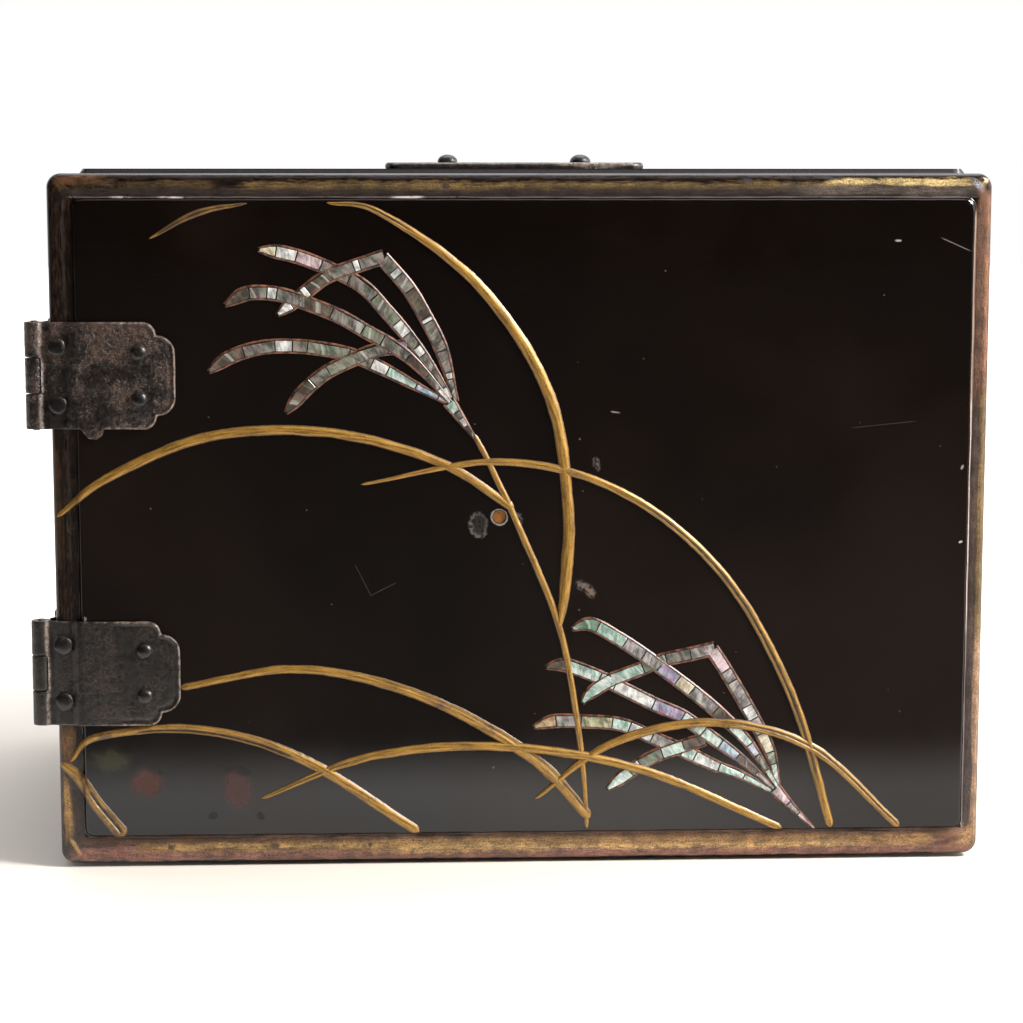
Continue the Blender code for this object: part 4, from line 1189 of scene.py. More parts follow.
def build_door(field, border, back, hole_ground):
    """The door's board with the lock's hole, and an uneven disc of bare ground at the hole's bottom."""
    plug = hole_plug(LOCK_HOLE_RADIUS, LOCK_HOLE_RADIUS, 2 * LOCK_HOLE_DEPTH, 40)
    hole = linked("hole", mesh_of(plug, "hole"))
    mesh = applied(board_skin(), lambda work: boolean(work, "DIFFERENCE", hole), hole)
    smoothed(mesh, 50)
    new_piece("door_board", mesh, [field, border, back], "door", "black_lacquer", "door")
    for face in mesh.polygons:
        across, up = face.center.x - DOOR_LOW.x, face.center.z - DOOR_LOW.z
        share = min(across / BORDER_LEFT, (DOOR_WIDTH - across) / BORDER_RIGHT, up / BORDER_BOTTOM,
                    (DOOR_HEIGHT - up) / BORDER_TOP)
        face.material_index = 2 if face.normal.y > 0.7 else 1 if share < BORDER_SHARE else 0
    disc = hole_plug(LOCK_HOLE_RADIUS - DISC_GAP[0], LOCK_HOLE_RADIUS - DISC_GAP[1], DISC_THICKNESS, 32,
                     DISC_DEPTH)
    new_piece("lock_hole_ground", mesh_of(disc, "lock_hole_ground"), [hole_ground], "door", "black_lacquer")


# Bands on the door

PATH_STEP = 0.4 * MM


def spline(points, samples=24):
    """A dense smooth curve through points, with any further values along."""
    points = np.array(points, float)
    ends = np.vstack([2 * points[0] - points[1], points, 2 * points[-1] - points[-2]])
    parts = []
    t = np.linspace(0, 1, samples, endpoint=False)[:, None]
    for i in range(1, len(ends) - 2):
        a, b, c, d = ends[i - 1:i + 3]
        parts.append(0.5 * (2 * b + (c - a) * t + (2 * a - 5 * b + 4 * c - d) * t ** 2
                            + (3 * b - a - 3 * c + d) * t ** 3))
    parts.append(points[-1:])
    return np.vstack(parts)


class Path:
    """A route on the door in metres, with even steps."""

    def __init__(self, points):
        drawn = spline(points)
        drawn[:, 0] *= THOUSANDTH * DOOR_WIDTH
        drawn[:, 1] *= THOUSANDTH * DOOR_HEIGHT
        gaps = np.hypot(*np.diff(drawn[:, :2], axis=0).T)
        self.drawn = drawn
        self.distance = np.concatenate([[0], np.cumsum(gaps)])
        self.length = self.distance[-1]

    def read(self, where):
        return np.stack([np.interp(where, self.distance, column) for column in self.drawn.T], axis=-1)

    def at(self, where):
        """Places and any further values at distances along the route, and the sideways directions."""
        tangent = (self.read(where + PATH_STEP) - self.read(where - PATH_STEP))[..., :2]
        tangent /= np.maximum(np.linalg.norm(tangent, axis=-1), TINY)[..., None]
        return self.read(where), np.stack([-tangent[..., 1], tangent[..., 0]], axis=-1)


def blade_shape(places, crest, groove, groove_here):
    """Heights across a blade from 0 to 1: a dome whose crest lies to one side, with a groove or without."""
    before = (places - crest) / (1 + crest)
    after = (places - crest) / (1 - crest)
    reach = np.where(places < crest, np.abs(before), np.abs(after))
    dome = np.clip(1 - reach ** 2, 0, 1)
    place, depth = groove[:2]
    dip = hump(places, place, GROOVE_WIDTH)
    return dome * (1 - depth * groove_here * dip), dip * groove_here * min(depth * 1.4, 1)


def build_blade(name, blade, material, seed):
    """A gold blade: a rounded band that follows the door's surface, grooved along its middle or not."""
    path = Path(blade.points)
    count = max(int(path.length / BLADE_STEP), 8)
    where = np.linspace(0, path.length, count)
    values, side = path.at(where)
    shake = np.array([[noise.noise((w / BLADE_SWAY, seed, k)) for k in range(3)] for w in where])
    from_end = np.minimum(where, path.length - where)
    taper = np.sqrt(np.clip(from_end / BLADE_TIP, 0.02, 1))
    half = values[:, 2] * MM / 2 * (1 + WIDTH_SHAKE * shake[:, 0]) * taper
    centre = values[:, :2] + side * (shake[:, 1] * BLADE_SHIFT)[:, None]
    places = np.sin(np.linspace(-1, 1, BLADE_ACROSS) * math.pi / 2)
    edge_noise = np.array([[noise.noise((w / BLADE_RIPPLE, seed, 7 + k)) for k in range(2)] for w in where])
    start, stop = blade.groove[2:]
    share = where / path.length
    grooved = smooth_step(share, start - GROOVE_FADE, start + GROOVE_FADE)
    grooved *= smooth_step(share, stop + GROOVE_FADE, stop - GROOVE_FADE)
    rings, marks = [], []
    for i in range(count):
        spread = 1 + EDGE_SHAKE * np.where(places < 0, *edge_noise[i])
        spot = centre[i] + side[i] * (places * spread * half[i])[:, None]
        groove_here = grooved[i] * (1 + GROOVE_SHAKE * edge_noise[i, 0])
        shape, mark = blade_shape(places, blade.crest, blade.groove, groove_here)
        relief = half[i] * blade.rise * (1 + RISE_SHAKE * shake[i, 2]) * shape + blade.lift * MM * taper[i]
        relief[[0, -1]] = -BLADE_FOOT
        rings.append(ring_on_door(spot, relief, -BLADE_SINK))
        marks += [*mark, 0, 0]
    mesh = ring_mesh(name, [(np.array(rings), where, [*places, 1, -1], seed, 0)])
    mark_points(mesh, "groove", marks)
    mark_points(mesh, "worn", np.full(len(mesh.vertices), blade.worn))
    smoothed(mesh)
    new_piece(name, mesh, [material], "door", "black_lacquer")


def strand_half(where, length, strand):
    """Half the width of a strand along it: pointed at its tip, narrow at the stem unless it is a branch."""
    where = np.asarray(where, float)
    if strand == "stem":
        return STRAND_WIDTH / 2 * (0.96 - 0.80 * where / length)
    tip = np.clip(where / STRAND_TIP_LENGTH, 0, 1)
    start = STRAND_TIP_SHARE + (1 - STRAND_TIP_SHARE) * np.sin(tip * math.pi / 2)
    late = smooth_step(where / length, 0.62, 1.05) * (strand not in BRANCHES)
    return STRAND_WIDTH / 2 * (1 if strand in BLUNT_STRANDS else start) * (1 - (1 - STRAND_END_SHARE) * late)


def rim_width(half):
    """The width of a strand's rim, less where the strand is narrow."""
    return min(RIM_WIDTH, RIM_SHARE * half)


def strand_bed(path, strand, rim):
    """The bed of one strand: a rim of lacquer along each side and a channel between them."""
    where = np.linspace(0, path.length, max(int(path.length / STRAND_STEP), 6))
    values, side = path.at(where)
    floor = rim - CHANNEL_DEPTH
    heights = np.array([-RIM_FOOT, 0.75 * rim, rim, floor, floor, rim, 0.75 * rim, -RIM_FOOT])
    rings = []
    for i, half in enumerate(strand_half(where, path.length, strand)):
        outer = half + RIM_PROFILE * rim_width(half)
        places = np.concatenate([-outer, outer[::-1]])
        rings.append(ring_on_door(values[i, :2] + side[i] * places[:, None], heights, -BED_SINK))
    return np.array(rings), where, [-1, -0.8, -0.7, -0.6, 0.6, 0.7, 0.8, 1, 1, -1], 0, 0


def shell_tile(path, strand, rim, start, stop, curved, lot):
    """One closed tile of shell with chamfered edges and a tilt of its own, bent along its strand or not."""
    tilt_along, tilt_across = lot.uniform(-1, 1), lot.uniform(-1, 1)
    inner = np.linspace(start + TILE_JOINT / 2, stop - TILE_JOINT / 2, 5 if curved else 2)
    spots = np.concatenate([inner[:1], inner[:1] + TILE_CHAMFER, inner[1:-1], inner[-1:] - TILE_CHAMFER,
                            inner[-1:]])
    values, side = path.at(spots)
    if not curved:
        share = (spots - spots[0]) / (spots[-1] - spots[0])
        values[:, :2] = values[0, :2] + (values[-1, :2] - values[0, :2]) * share[:, None]
    last = len(spots) - 1
    rings = []
    for i, half in enumerate(strand_half(spots, path.length, strand)):
        reach = half - rim_width(half) - TILE_GAP
        places = np.array([-reach, -reach + TILE_CHAMFER, reach - TILE_CHAMFER, reach])
        top = rim - TILE_SINK - (TILE_CHAMFER if i in (0, last) else 0)
        slope = TILE_TILT * (tilt_across * places / reach + tilt_along * (2 * i / last - 1))
        heights = np.array([top - TILE_CHAMFER, top, top, top - TILE_CHAMFER]) + slope
        rings.append(ring_on_door(values[i, :2] + side[i] * places[:, None], heights, rim - TILE_DEPTH))
    return np.array(rings), spots, [-1, -0.9, 0.9, 1, 1, -1], lot.uniform(0, 50)


def build_plume(name, plume, rim_material, shells, node, seed):
    """A shell plume: beds of lacquer along its strands, and separate shell tiles in them."""
    lot = random.Random(seed)
    kinds = list(shells)
    beds, tiles = [], []
    for strand, (level, points, pieces) in plume.items():
        path = Path(points)
        rim = RIM_HEIGHT + LEVEL_HEIGHT * level
        beds.append(strand_bed(path, strand, rim))
        pieces = [piece.split() for piece in pieces.split(", ")]
        whole = sum(float(length) for _, length in pieces)
        run = path.length - STRAND_REST
        start = STRAND_START
        for index, (kind, length) in enumerate(pieces):
            stop = start + run * float(length) / whole
            curved = index == 0 or strand == "stem"
            tile = shell_tile(path, strand, rim, start, stop, curved, lot)
            tiles.append((*tile, kinds.index(kind)))
            start = stop
    bed_mesh = ring_mesh(name + "_rims", beds)
    smoothed(bed_mesh, 40)
    new_piece(name + "_rims", bed_mesh, [rim_material], "door", "black_lacquer")
    tile_mesh = ring_mesh(name + "_tiles", tiles)
    new_piece(name + "_tiles", tile_mesh, list(shells.values()), "door", "mother_of_pearl", node)


# Iron

def facing(normal, up, middle):
    """The place of a flat shape whose +Z looks along the normal and whose +Y looks up."""
    across = Vector(up).cross(Vector(normal))
    turn = Matrix((across, Vector(up), Vector(normal))).transposed().to_4x4()
    return Matrix.Translation(middle) @ turn


def arc(centre, radius, start, stop, steps=8):
    """Points of an arc in degrees, without its first one."""
    angles = np.radians(np.linspace(start, stop, steps + 1)[1:])
    return [(centre[0] + radius * math.cos(a), centre[1] + radius * math.sin(a)) for a in angles]


def leaf_half(reach, root):
    """The upper half of a leaf's outline, from the barrel to the far end: two lobes."""
    half = HINGE_LENGTH / 2
    cusp = half - LOBE_SMALL
    points = root + [(reach - LOBE_LARGE - LOBE_SMALL, half)]
    points += arc((reach - LOBE_LARGE - LOBE_SMALL, half - LOBE_SMALL), LOBE_SMALL, 90, 0)
    points += arc((reach - LOBE_LARGE, cusp - LOBE_LARGE), LOBE_LARGE, 90, 0)
    return points


def flat_solid(bm, outline, low, high):
    """Add a flat outline with a thickness to a bmesh."""
    bottom = [bm.verts.new((x, y, low)) for x, y in outline]
    face = bm.faces.new(bottom)
    made = bmesh.ops.extrude_face_region(bm, geom=[face])
    top = [item for item in made["geom"] if isinstance(item, bmesh.types.BMVert)]
    bmesh.ops.translate(bm, verts=top, vec=(0, 0, high - low))


def tube(bm, radius, low, high, sides=28):
    """Add an upright cylinder on the hinge's axis, which runs along the flat shape's Y."""
    turn = Matrix.Translation((0, (low + high) / 2, 0)) @ Matrix.Rotation(math.pi / 2, 4, "X")
    bmesh.ops.create_cone(bm, cap_ends=True, segments=sides, radius1=radius, radius2=radius,
                          depth=high - low, matrix=turn)


def outline_distance(points, outline):
    """Distance from each point to the outline."""
    best = np.full(len(points), 1e9)
    for start, stop in zip(outline, outline[1:] + outline[:1]):
        start, stop = np.array(start), np.array(stop)
        run = stop - start
        share = np.clip(((points - start) @ run) / max(run @ run, 1e-18), 0, 1)
        best = np.minimum(best, np.linalg.norm(points - (start + share[:, None] * run), axis=1))
    return best


def remeshed(bm, voxel):
    """One closed skin around solids that overlap."""
    outward(bm)

    def remesh(work):
        modifier = work.modifiers.new("skin", "REMESH")
        modifier.mode = "VOXEL"
        modifier.voxel_size = voxel

    return applied(bm, remesh)


def forge(mesh, scale, rough, pits, seed, wear_and_painted_light):
    """Roughen a dense mesh along its normals and keep each point's wear and painted light, a little higher
    on bumps and lower in pits.
    """
    places = mesh_places(mesh)
    normals = np.zeros(places.size)
    mesh.vertex_normals.foreach_get("vector", normals)
    shift = Vector((seed * 3.1, seed * 1.7, seed))
    moved = np.zeros(len(places))
    for i, place in enumerate(places):
        spot = Vector(place) * scale + shift
        slow = noise.noise(spot)
        fast = noise.noise(spot * 4.1)
        near = noise.voronoi(spot * 2.3)[0][0]
        hollow = max(0.0, 0.42 - near) / 0.42
        moved[i] = rough * (0.7 * slow + 0.35 * fast) - pits * hollow * max(0.0, slow + 0.35)
    move_points(mesh, places + normals.reshape(-1, 3) * moved[:, None])
    mark_points(mesh, "wear_and_painted_light", wear_and_painted_light + np.clip(moved / rough * 0.25, -0.2, 0.2))
    smoothed(mesh)


def keep_in_box(mesh):
    """Hold a mesh inside the whole object's CAD box."""
    move_points(mesh, np.clip(mesh_places(mesh), cad_box[0], cad_box[1]))


# The broken tab under the upper leaf, from the door's left edge and down from the leaf's lower edge
TORN_TAB = [(17.0, -0.1), (16.4, 1.9), (14.6, 3.2), (12.2, 3.0), (10.8, 1.4), (9.8, -0.1)]

# A leaf: how far its board's edge lies from the axis, how far its back lies in front of the axis, its bends
# with their rises, the root of its outline, its knuckles and the size of its mesh
Leaf = namedtuple("Leaf", "edge base bends root knuckles voxel")


def leaf_outline(leaf, torn):
    """A leaf's outline from the barrel to the far end and back, with the torn tab or without."""
    upper = leaf_half(leaf.edge + LEAF_REACH, leaf.root)
    lower = [(x, -y) for x, y in reversed(upper)]
    if torn:
        tab = [(leaf.edge + x * MM, -HINGE_LENGTH / 2 - y * MM) for x, y in TORN_TAB]
        cut = next(i for i, (x, _) in enumerate(lower) if x < tab[0][0])
        lower = lower[:cut] + tab + lower[cut:]
    return upper + lower


def sink_root(places, base, clears_knuckle):
    """Thin a leaf beside its barrel, and push it clear of the other leaf's knuckle."""
    thin = 1 - LEAF_DIP_DEPTH / LEAF_THICKNESS * smooth_step(places[:, 0], LEAF_DIP[1], LEAF_DIP[0])
    barrel_front = np.sqrt(np.clip(BARREL_RADIUS ** 2 - places[:, 0] ** 2, 0, None))
    dipped = (places[:, 0] > LEAF_ROOT) & (places[:, 2] > np.maximum(base, barrel_front - 0.05 * MM))
    sunk = np.maximum(base + (places[:, 2] - base) * thin, barrel_front)
    places[:, 2] = np.where(dipped, sunk, places[:, 2])
    reach_out = np.hypot(places[:, 0], places[:, 2])
    clear = BARREL_RADIUS + BARREL_CLEARANCE
    middle_part = (np.abs(places[:, 1]) < KNUCKLE_LENGTH / 2) & clears_knuckle & (reach_out < clear)
    places[:, ::2] *= np.where(middle_part, clear / np.maximum(reach_out, MM), 1)[:, None]


def build_leaf(name, node, place, leaf, material, body, seed, pitted, torn):
    """A forged leaf with its knuckles, bent over the border onto the field."""
    outline = leaf_outline(leaf, torn)
    bm = bmesh.new()
    flat_solid(bm, outline, leaf.base, leaf.base + LEAF_THICKNESS)
    for low, high in leaf.knuckles:
        tube(bm, BARREL_RADIUS, low, high)
    mesh = remeshed(bm, leaf.voxel)
    places = mesh_places(mesh)
    inside = outline_distance(places[:, :2], outline)
    sink_root(places, leaf.base, body == "door")
    flat = places[:, 0] > BARREL_RADIUS + LEAF_MARGIN
    front = smooth_step(places[:, 2], leaf.base + 0.4 * LEAF_THICKNESS, leaf.base + 0.9 * LEAF_THICKNESS)
    reach = leaf.edge + LEAF_REACH
    far = smooth_step(places[:, 0], reach - FAR_PART[0], reach - FAR_PART[1])
    uneven = 1 + 0.5 * wavy(places[:, 0], places[:, 1], 2.2 * MM)
    ridge = RIDGE_HEIGHT * hump(inside, *RIDGE) * uneven
    trough = TROUGH_DEPTH * hump(inside, *TROUGH)
    places[:, 2] += flat * front * far * (ridge - trough)
    for start, stop, height in leaf.bends:
        places[:, 2] += height * np.clip((places[:, 0] - start) / (stop - start), 0, 1)
    move_points(mesh, places)
    # Worn edges, painted shade behind the bend, and a painted highlight along the barrel's flank
    edge_wear_and_bend_shade = hump(inside, *EDGE_WEAR) * front * flat * (0.45 + 0.35 * far) * uneven
    edge_wear_and_bend_shade -= 0.5 * hump(places[:, 0], leaf.bends[-1][1] + BEND_SHADE[0], BEND_SHADE[1]) * front
    across = np.hypot(places[:, 0], places[:, 2])
    barrel = (~flat) * hump(np.arctan2(places[:, 0], places[:, 2]), *BARREL_HIGHLIGHT) * 0.75
    wear_and_painted_light = np.where(flat, edge_wear_and_bend_shade, barrel * (across < BARREL_RADIUS + LEAF_MARGIN))
    mesh.update()
    rough, pits = PITTED if pitted else SMOOTH
    forge(mesh, 1 / (2.6 * MM), rough, pits, seed, wear_and_painted_light)
    mesh.transform(place)
    keep_in_box(mesh)
    new_piece(name, mesh, [material], body, "wrought_iron", node)


def nail_head(name, node, place, head, material, body, seed):
    """A hand-made nail head: a low dome, uneven round its rim. The head is a radius, a height and a lump."""
    radius, height, lump = head
    bm = bmesh.new()
    bmesh.ops.create_uvsphere(bm, u_segments=28, v_segments=20, radius=1)
    for vert in bm.verts:
        turn = math.atan2(vert.co.y, vert.co.x)
        wave = 1 + lump * noise.noise((math.cos(turn) * 1.3, math.sin(turn) * 1.3, seed))
        vert.co.x *= radius * wave
        vert.co.y *= radius * wave
        flat = 1 - 0.25 * lump * noise.noise((vert.co.x / radius * 1.5, vert.co.y / radius * 1.5, seed + 5))
        vert.co.z = vert.co.z * height * flat if vert.co.z > 0 else vert.co.z * NAIL_SINK
    mesh = mesh_of(bm, name)
    rise = np.clip(mesh_places(mesh)[:, 2] / height, 0, 1)
    # The head is drawn darker towards its top and lighter towards its rim
    forge(mesh, 1 / (1.4 * MM), 0.04 * MM, 0.04 * MM, seed, 0.5 - rise)
    mesh.transform(place)
    keep_in_box(mesh)
    new_piece(name, mesh, [material], body, "wrought_iron", node)


def build_pin(name, node, middle, material, seed):
    """The pin's ends, which show above and below the knuckles."""
    bm = bmesh.new()
    low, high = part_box(node)
    half = (high.z - low.z) / 2
    tube(bm, PIN_RADIUS, -half, half, 20)
    bmesh.ops.rotate(bm, verts=bm.verts, matrix=Matrix.Rotation(math.pi / 2, 3, "X"))
    ends = [face for face in bm.faces if len(face.verts) > 4]
    rims = [edge for face in ends for edge in face.edges]
    bevel(bm, rims, PIN_BEVEL, 2)
    mesh = mesh_of(bm, name)
    forge(mesh, 1 / (1.4 * MM), 0.03 * MM, 0.0, seed, np.full(len(mesh.vertices), 0.4))
    mesh.transform(Matrix.Translation(middle))
    new_piece(name, mesh, [material], "box", "wrought_iron", node)


def build_nails(side, material, seed):
    """The nails of one hinge: in each leaf two flat ones beside the barrel and two round ones."""
    for index in range(1, 5):
        radius, rise, lump = FLAT_HEAD if index < 3 else ROUND_HEAD
        for board, body, normal in (("door", "door", (0, -1, 0)), ("case", "box", (-1, 0, 0))):
            node = f"hinge_{side}_{board}_nail_{index}"
            low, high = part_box(node)
            centre = (low + high) / 2
            if board == "door":
                seat = (centre.x, low.y + NAIL_STANDS, centre.z)
                head = (radius, rise, lump)
            else:
                seat = (low.x + NAIL_STANDS, centre.y, centre.z)
                head = (SIDE_HEAD_RADIUS, rise, lump)
            nail_head(f"hinge_{side}_{board}_head_{index}", node, facing(normal, (0, 0, 1), seat), head,
                      material, body, seed * 10 + index)


def build_hinge(side, material, head_material):
    """One hinge: the door's leaf, the case's leaf, the pin and eight nails."""
    middle = (AXIS_X, AXIS_Y, HINGE_HEIGHTS[side])
    pitted = side == "upper"
    seed = 3 if pitted else 11
    half = HINGE_LENGTH / 2
    tongue = KNUCKLE_LENGTH / 2
    notch = tongue + FIT
    clear = BARREL_RADIUS + BARREL_CLEARANCE
    clear_front = math.sqrt(clear ** 2 - (BARREL_RADIUS - BARREL_SINK) ** 2)
    door_edge = -CASE_SIDE - AXIS_X
    foot = door_edge + BORDER_LEFT - LEAF_STEP_LEAD
    door_leaf = Leaf(
        edge=door_edge,
        base=BARREL_RADIUS - BARREL_SINK - LEAF_THICKNESS,
        bends=[(foot - LEAF_STEP_RUN, foot, FIELD_RISE)],
        root=[(clear_front, notch), (LEAF_ROOT, notch), (LEAF_ROOT, half)],
        knuckles=[(notch, half), (-half, -notch)],
        voxel=LEAF_VOXEL)
    build_leaf(f"hinge_{side}_front_leaf", f"hinge_{side}_door_leaf", facing((0, -1, 0), (0, 0, 1), middle),
               door_leaf, material, "door", seed, pitted, pitted)
    case_edge = CASE_FRONT - AXIS_Y
    case_base = BARREL_SINK - BARREL_RADIUS
    foot = case_edge + CASE_BORDER - LEAF_STEP_LEAD
    onto_case = FIT - door_edge - case_base
    case_leaf = Leaf(
        edge=case_edge,
        base=case_base,
        bends=[(clear, clear + LEAF_STEP_RUN, onto_case), (foot - LEAF_STEP_RUN, foot, FIELD_RISE)],
        root=[(LEAF_ROOT, tongue), (clear, tongue), (clear, half)],
        knuckles=[(-tongue, tongue)],
        voxel=HIDDEN_LEAF_VOXEL)
    build_leaf(f"hinge_{side}_side_leaf", f"hinge_{side}_case_leaf", facing((-1, 0, 0), (0, 0, -1), middle),
               case_leaf, material, "box", seed + 1, pitted, False)
    build_pin(f"hinge_{side}_axle", f"hinge_{side}_pin", middle, material, seed + 2)
    build_nails(side, head_material, seed)


def build_top_plate(material):
    """The thick rough plate on the top and its two domed studs."""
    low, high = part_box(PLATE_NODE)
    size = high - low
    middle = (low + high) / 2
    bm = block(size)
    bevel(bm, edges_along(bm, 2), PLATE_CORNER, 6)
    bevel(bm, [e for e in bm.edges if min(v.co.z for v in e.verts) > 0], PLATE_BEVEL, 3)
    mesh = remeshed(bm, PLATE_VOXEL)
    places = mesh_places(mesh)
    inset = np.minimum(size.x / 2 - np.abs(places[:, 0]), size.y / 2 - np.abs(places[:, 1]))
    # Worn rim, and a painted highlight along the plate's right part
    wear_and_painted_light = 0.6 * hump(inset, *PLATE_RIM) * (places[:, 2] > 0) + 0.7 * hump(places[:, 0], *PLATE_HIGHLIGHT)
    forge(mesh, 1 / (3.2 * MM), 0.12 * MM, 0.25 * MM, 21, wear_and_painted_light)
    mesh.transform(Matrix.Translation(middle))
    new_piece("carrying_plate", mesh, [material], "box", "wrought_iron", PLATE_NODE)
    for index, node in enumerate(STUD_NODES):
        low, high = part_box(node)
        centre = (low + high) / 2
        seat = Matrix.Translation((centre.x, centre.y, high.z - STUD_HEAD[1]))
        nail_head(f"carrying_stud_{index + 1}", node, seat, STUD_HEAD, material, "box", 31 + index)


# Case

def slab(low, high, corner, edge=0):
    """A box with round corners along its depth and, if asked, a round edge at its back."""
    low, high = Vector(low), Vector(high)
    bm = block(high - low, (low + high) / 2)
    bm.normal_update()
    bevel(bm, edges_along(bm, 1), corner, 10)
    bm.normal_update()
    if edge:
        bevel(bm, list(max(bm.faces, key=lambda f: f.normal.y * f.calc_area()).edges), edge, 5)
    return bm


def field_solid(width, height, place):
    """A raised field with sloping sides, in its place on a side of the case."""
    bm = block((width, height, FIELD_RISE + FIELD_ROOT), (0, 0, (FIELD_RISE - FIELD_ROOT) / 2))
    bevel(bm, edges_along(bm, 2), FIELD_CORNER, 8)
    bm.normal_update()
    top = max(bm.faces, key=lambda f: f.normal.z * f.calc_area())
    bmesh.ops.inset_region(bm, faces=[top], thickness=FIELD_SLOPE)
    for vert in bm.verts:
        if vert.co.z > 0 and vert not in top.verts:
            vert.co.z = 0
    bmesh.ops.transform(bm, matrix=place, verts=bm.verts)
    outward(bm)
    return bm


def build_case(lacquer, inside):
    """The carcass with raised fields on its top, sides and back, hollow and open at the front."""
    low = (-CASE_SIDE, CASE_FRONT, 0)
    high = (CASE_SIDE, CASE_BACK, CASE_TOP)
    mid_y = (CASE_BACK + CASE_FRONT) / 2
    side_width = CASE_BACK - CASE_FRONT - 2 * CASE_BORDER
    side_height = CASE_TOP - 2 * CASE_BORDER
    top_width = 2 * CASE_SIDE - BORDER_LEFT - BORDER_RIGHT + 2 * TOP_SPREAD
    shift = (BORDER_LEFT - BORDER_RIGHT) / 2 + TOP_SPREAD
    fields = [
        (top_width, side_width, facing((0, 0, 1), (0, 1, 0), (shift, mid_y, CASE_TOP))),
        (side_width, side_height, facing((-1, 0, 0), (0, 0, 1), (-CASE_SIDE, mid_y, CASE_TOP / 2))),
        (side_width, side_height, facing((1, 0, 0), (0, 0, 1), (CASE_SIDE, mid_y, CASE_TOP / 2))),
        (2 * (CASE_SIDE - CASE_BORDER), side_height,
         facing((0, 1, 0), (0, 0, 1), (0, CASE_BACK, CASE_TOP / 2))),
    ]
    helpers = [linked("field", mesh_of(field_solid(*field), "field")) for field in fields]
    hollow_low = (-CASE_SIDE + CASE_WALL, CASE_FRONT - CASE_WALL, CASE_WALL)
    hollow_high = (CASE_SIDE - CASE_WALL, CASE_BACK - CASE_WALL, CASE_TOP - CASE_WALL)
    hollow = linked("hollow", mesh_of(slab(hollow_low, hollow_high, HOLLOW_CORNER), "hollow"))

    def shape(work):
        for helper in helpers:
            boolean(work, "UNION", helper)
        boolean(work, "DIFFERENCE", hollow)
        soft = work.modifiers.new("soft", "BEVEL")
        soft.width = CASE_SOFT_EDGE
        soft.segments = 3
        soft.limit_method = "ANGLE"
        soft.angle_limit = math.radians(32)

    mesh = applied(slab(low, high, CASE_CORNER, CASE_EDGE), shape, hollow, *helpers)
    smoothed(mesh, 40)
    new_piece("case_shell", mesh, [lacquer, inside], "box", "black_lacquer", "case")
    wide, deep, tall = (value + INSIDE_MARGIN for value in hollow_high)
    for face in mesh.polygons:
        x, y, z = face.center
        within = abs(x) < wide and CASE_FRONT + INSIDE_MARGIN < y < deep
        face.material_index = int(within and hollow_low[2] - INSIDE_MARGIN < z < tall)


# Stage

def build_stage():
    """A plain pale floor that turns into the white background, and in reflections darkens to the viewer."""
    bm = bmesh.new()
    bmesh.ops.create_grid(bm, x_segments=1, y_segments=1, size=FLOOR_SIZE)
    mesh = mesh_of(bm, "floor")
    floor = linked("floor", mesh)
    floor.location.z = -FLOOR_GAP
    shade = Shade("pale_floor")
    path = shade.add("ShaderNodeLightPath")
    near = shade.times(shade.step(shade.y, -0.30, -0.20, 0.02, 1.0),
                       shade.step(shade.x, 0.02, 0.16, 1.0, 0.6))
    mirrored = shade.mix(near, srgb(40, 39, 38), srgb(245, 244, 242))
    color = shade.mix(path.outputs["Is Glossy Ray"], srgb(250, 241, 230), mirrored)
    squared = shade.plus(shade.times(shade.x, shade.x), shade.times(shade.y, shade.y))
    away = shade.math("SQRT", squared)
    white = shade.times(shade.step(away, 0.12, 0.62), path.outputs["Is Camera Ray"])
    shade.feed(shade.shader.inputs["Emission Color"], (1, 1, 1, 1))
    shade.feed(shade.shader.inputs["Emission Strength"], white)
    mesh.materials.append(shade.finish(color, 0.8, ior=1.5))


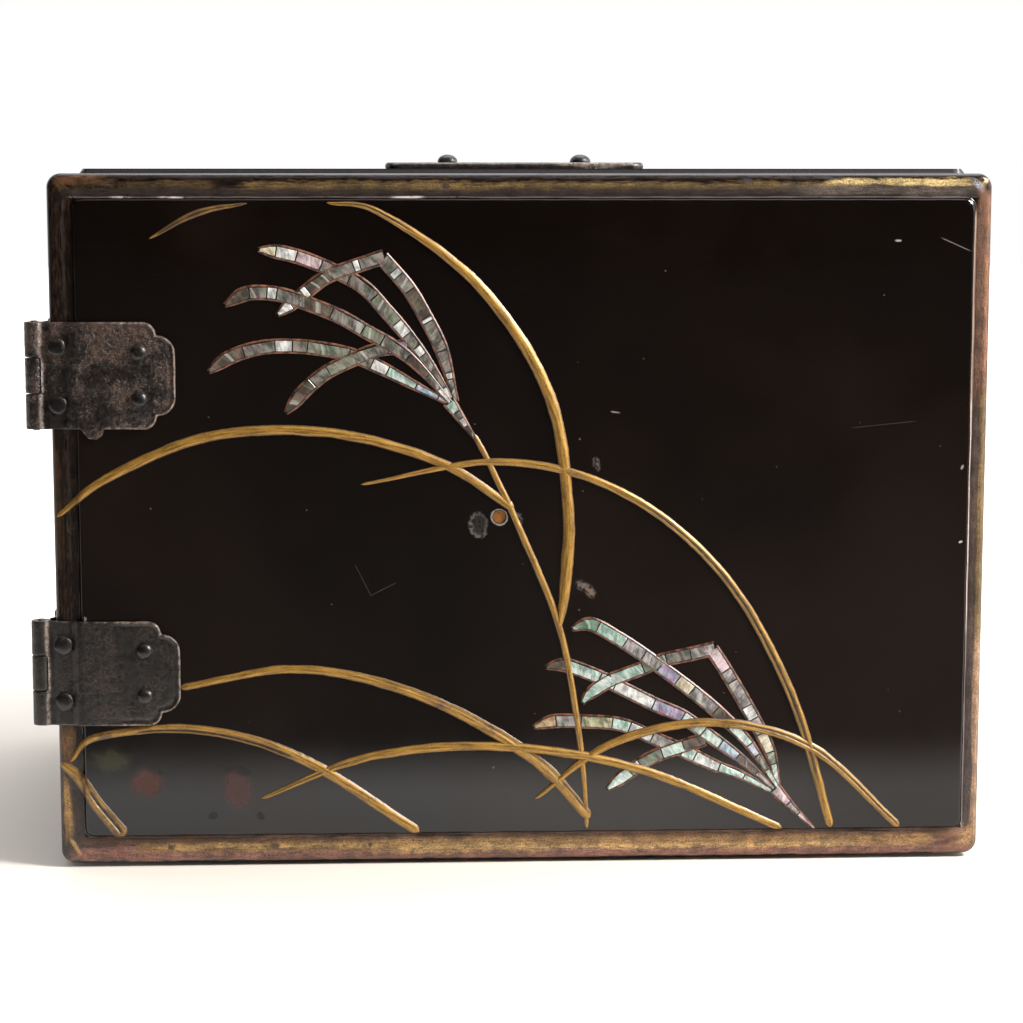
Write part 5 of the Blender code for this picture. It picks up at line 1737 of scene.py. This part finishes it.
def build_world():
    """A white studio: white to the camera, and in reflections bright behind, above and at the right."""
    world = bpy.data.worlds.new("studio")
    bpy.context.scene.world = world
    world.use_nodes = True
    tree = world.node_tree
    tree.nodes.clear()
    shade = Shade("studio", tree)
    x, y, z = shade.split(shade.add("ShaderNodeTexCoord").outputs["Generated"])
    right = shade.times(shade.step(x, 0.5, 0.85), shade.step(z, -0.15, 0.15))
    above = shade.step(z, 0.5, 0.95)
    behind = shade.step(y, -0.05, 0.4)
    light = shade.most(shade.times(right, 1.8), shade.times(above, 0.4), shade.times(behind, 1.0))
    strength = shade.plus(light, shade.step(x, 0.05, 0.5, 0.008, 0.028))
    path = shade.add("ShaderNodeLightPath")
    shown = shade.mixed(path.outputs["Is Camera Ray"], strength, 1.0)
    background = shade.add("ShaderNodeBackground", {"Color": (1, 1, 1, 1), "Strength": shown})
    output = shade.add("ShaderNodeOutputWorld")
    tree.links.new(background.outputs[0], output.inputs[0])


def area_light(name, place, aim, size, power, color):
    """A soft square light that looks at a point."""
    light = bpy.data.lights.new(name, "AREA")
    light.size = size
    light.energy = power
    light.color = color
    lamp = linked(name, light)
    lamp.location = place
    lamp.rotation_euler = (Vector(aim) - Vector(place)).to_track_quat("-Z", "Y").to_euler()


def build_lights():
    area_light("key", (0.80, -0.42, 0.78), (0, -0.1, 0.1), 0.32, 20, (1, 0.98, 0.95))
    area_light("top", (0.15, 0.4, 1.4), (0, 0, 0.1), 1.0, 8, (0.97, 0.98, 1))


def build_camera():
    camera = bpy.data.cameras.new("camera")
    camera.lens = CAMERA_LENS
    camera.sensor_width = SENSOR
    eye = linked("camera", camera)
    eye.location = CAMERA_PLACE
    eye.rotation_euler = (math.radians(90 - CAMERA_PITCH), 0, math.radians(-CAMERA_YAW))
    bpy.context.scene.camera = eye


def main():
    scene = bpy.context.scene
    scene.view_settings.view_transform = "Standard"
    scene.view_settings.look = "None"
    scene.cycles.use_denoising = True
    build_camera()
    build_stage()
    build_world()
    build_lights()
    inside = inside_lacquer()
    build_door(field_lacquer(), border_lacquer(), inside, bare_ground())
    gold = gold_relief()
    for seed, (name, blade) in enumerate(BLADES.items()):
        build_blade(name, blade, gold, seed)
    shells = {kind: shell(kind) for kind in SHELL_KINDS}
    rim = rim_lacquer()
    build_plume("shell_upper", UPPER_PLUME, rim, shells, "pearl_plume_upper", 5)
    build_plume("shell_lower", LOWER_PLUME, rim, shells, "pearl_plume_lower", 8)
    rusty, grey, heads = [forged_iron(name) for name in IRONS]
    build_hinge("upper", rusty, heads)
    build_hinge("lower", grey, heads)
    build_top_plate(grey)
    build_case(case_lacquer(), inside)


main()
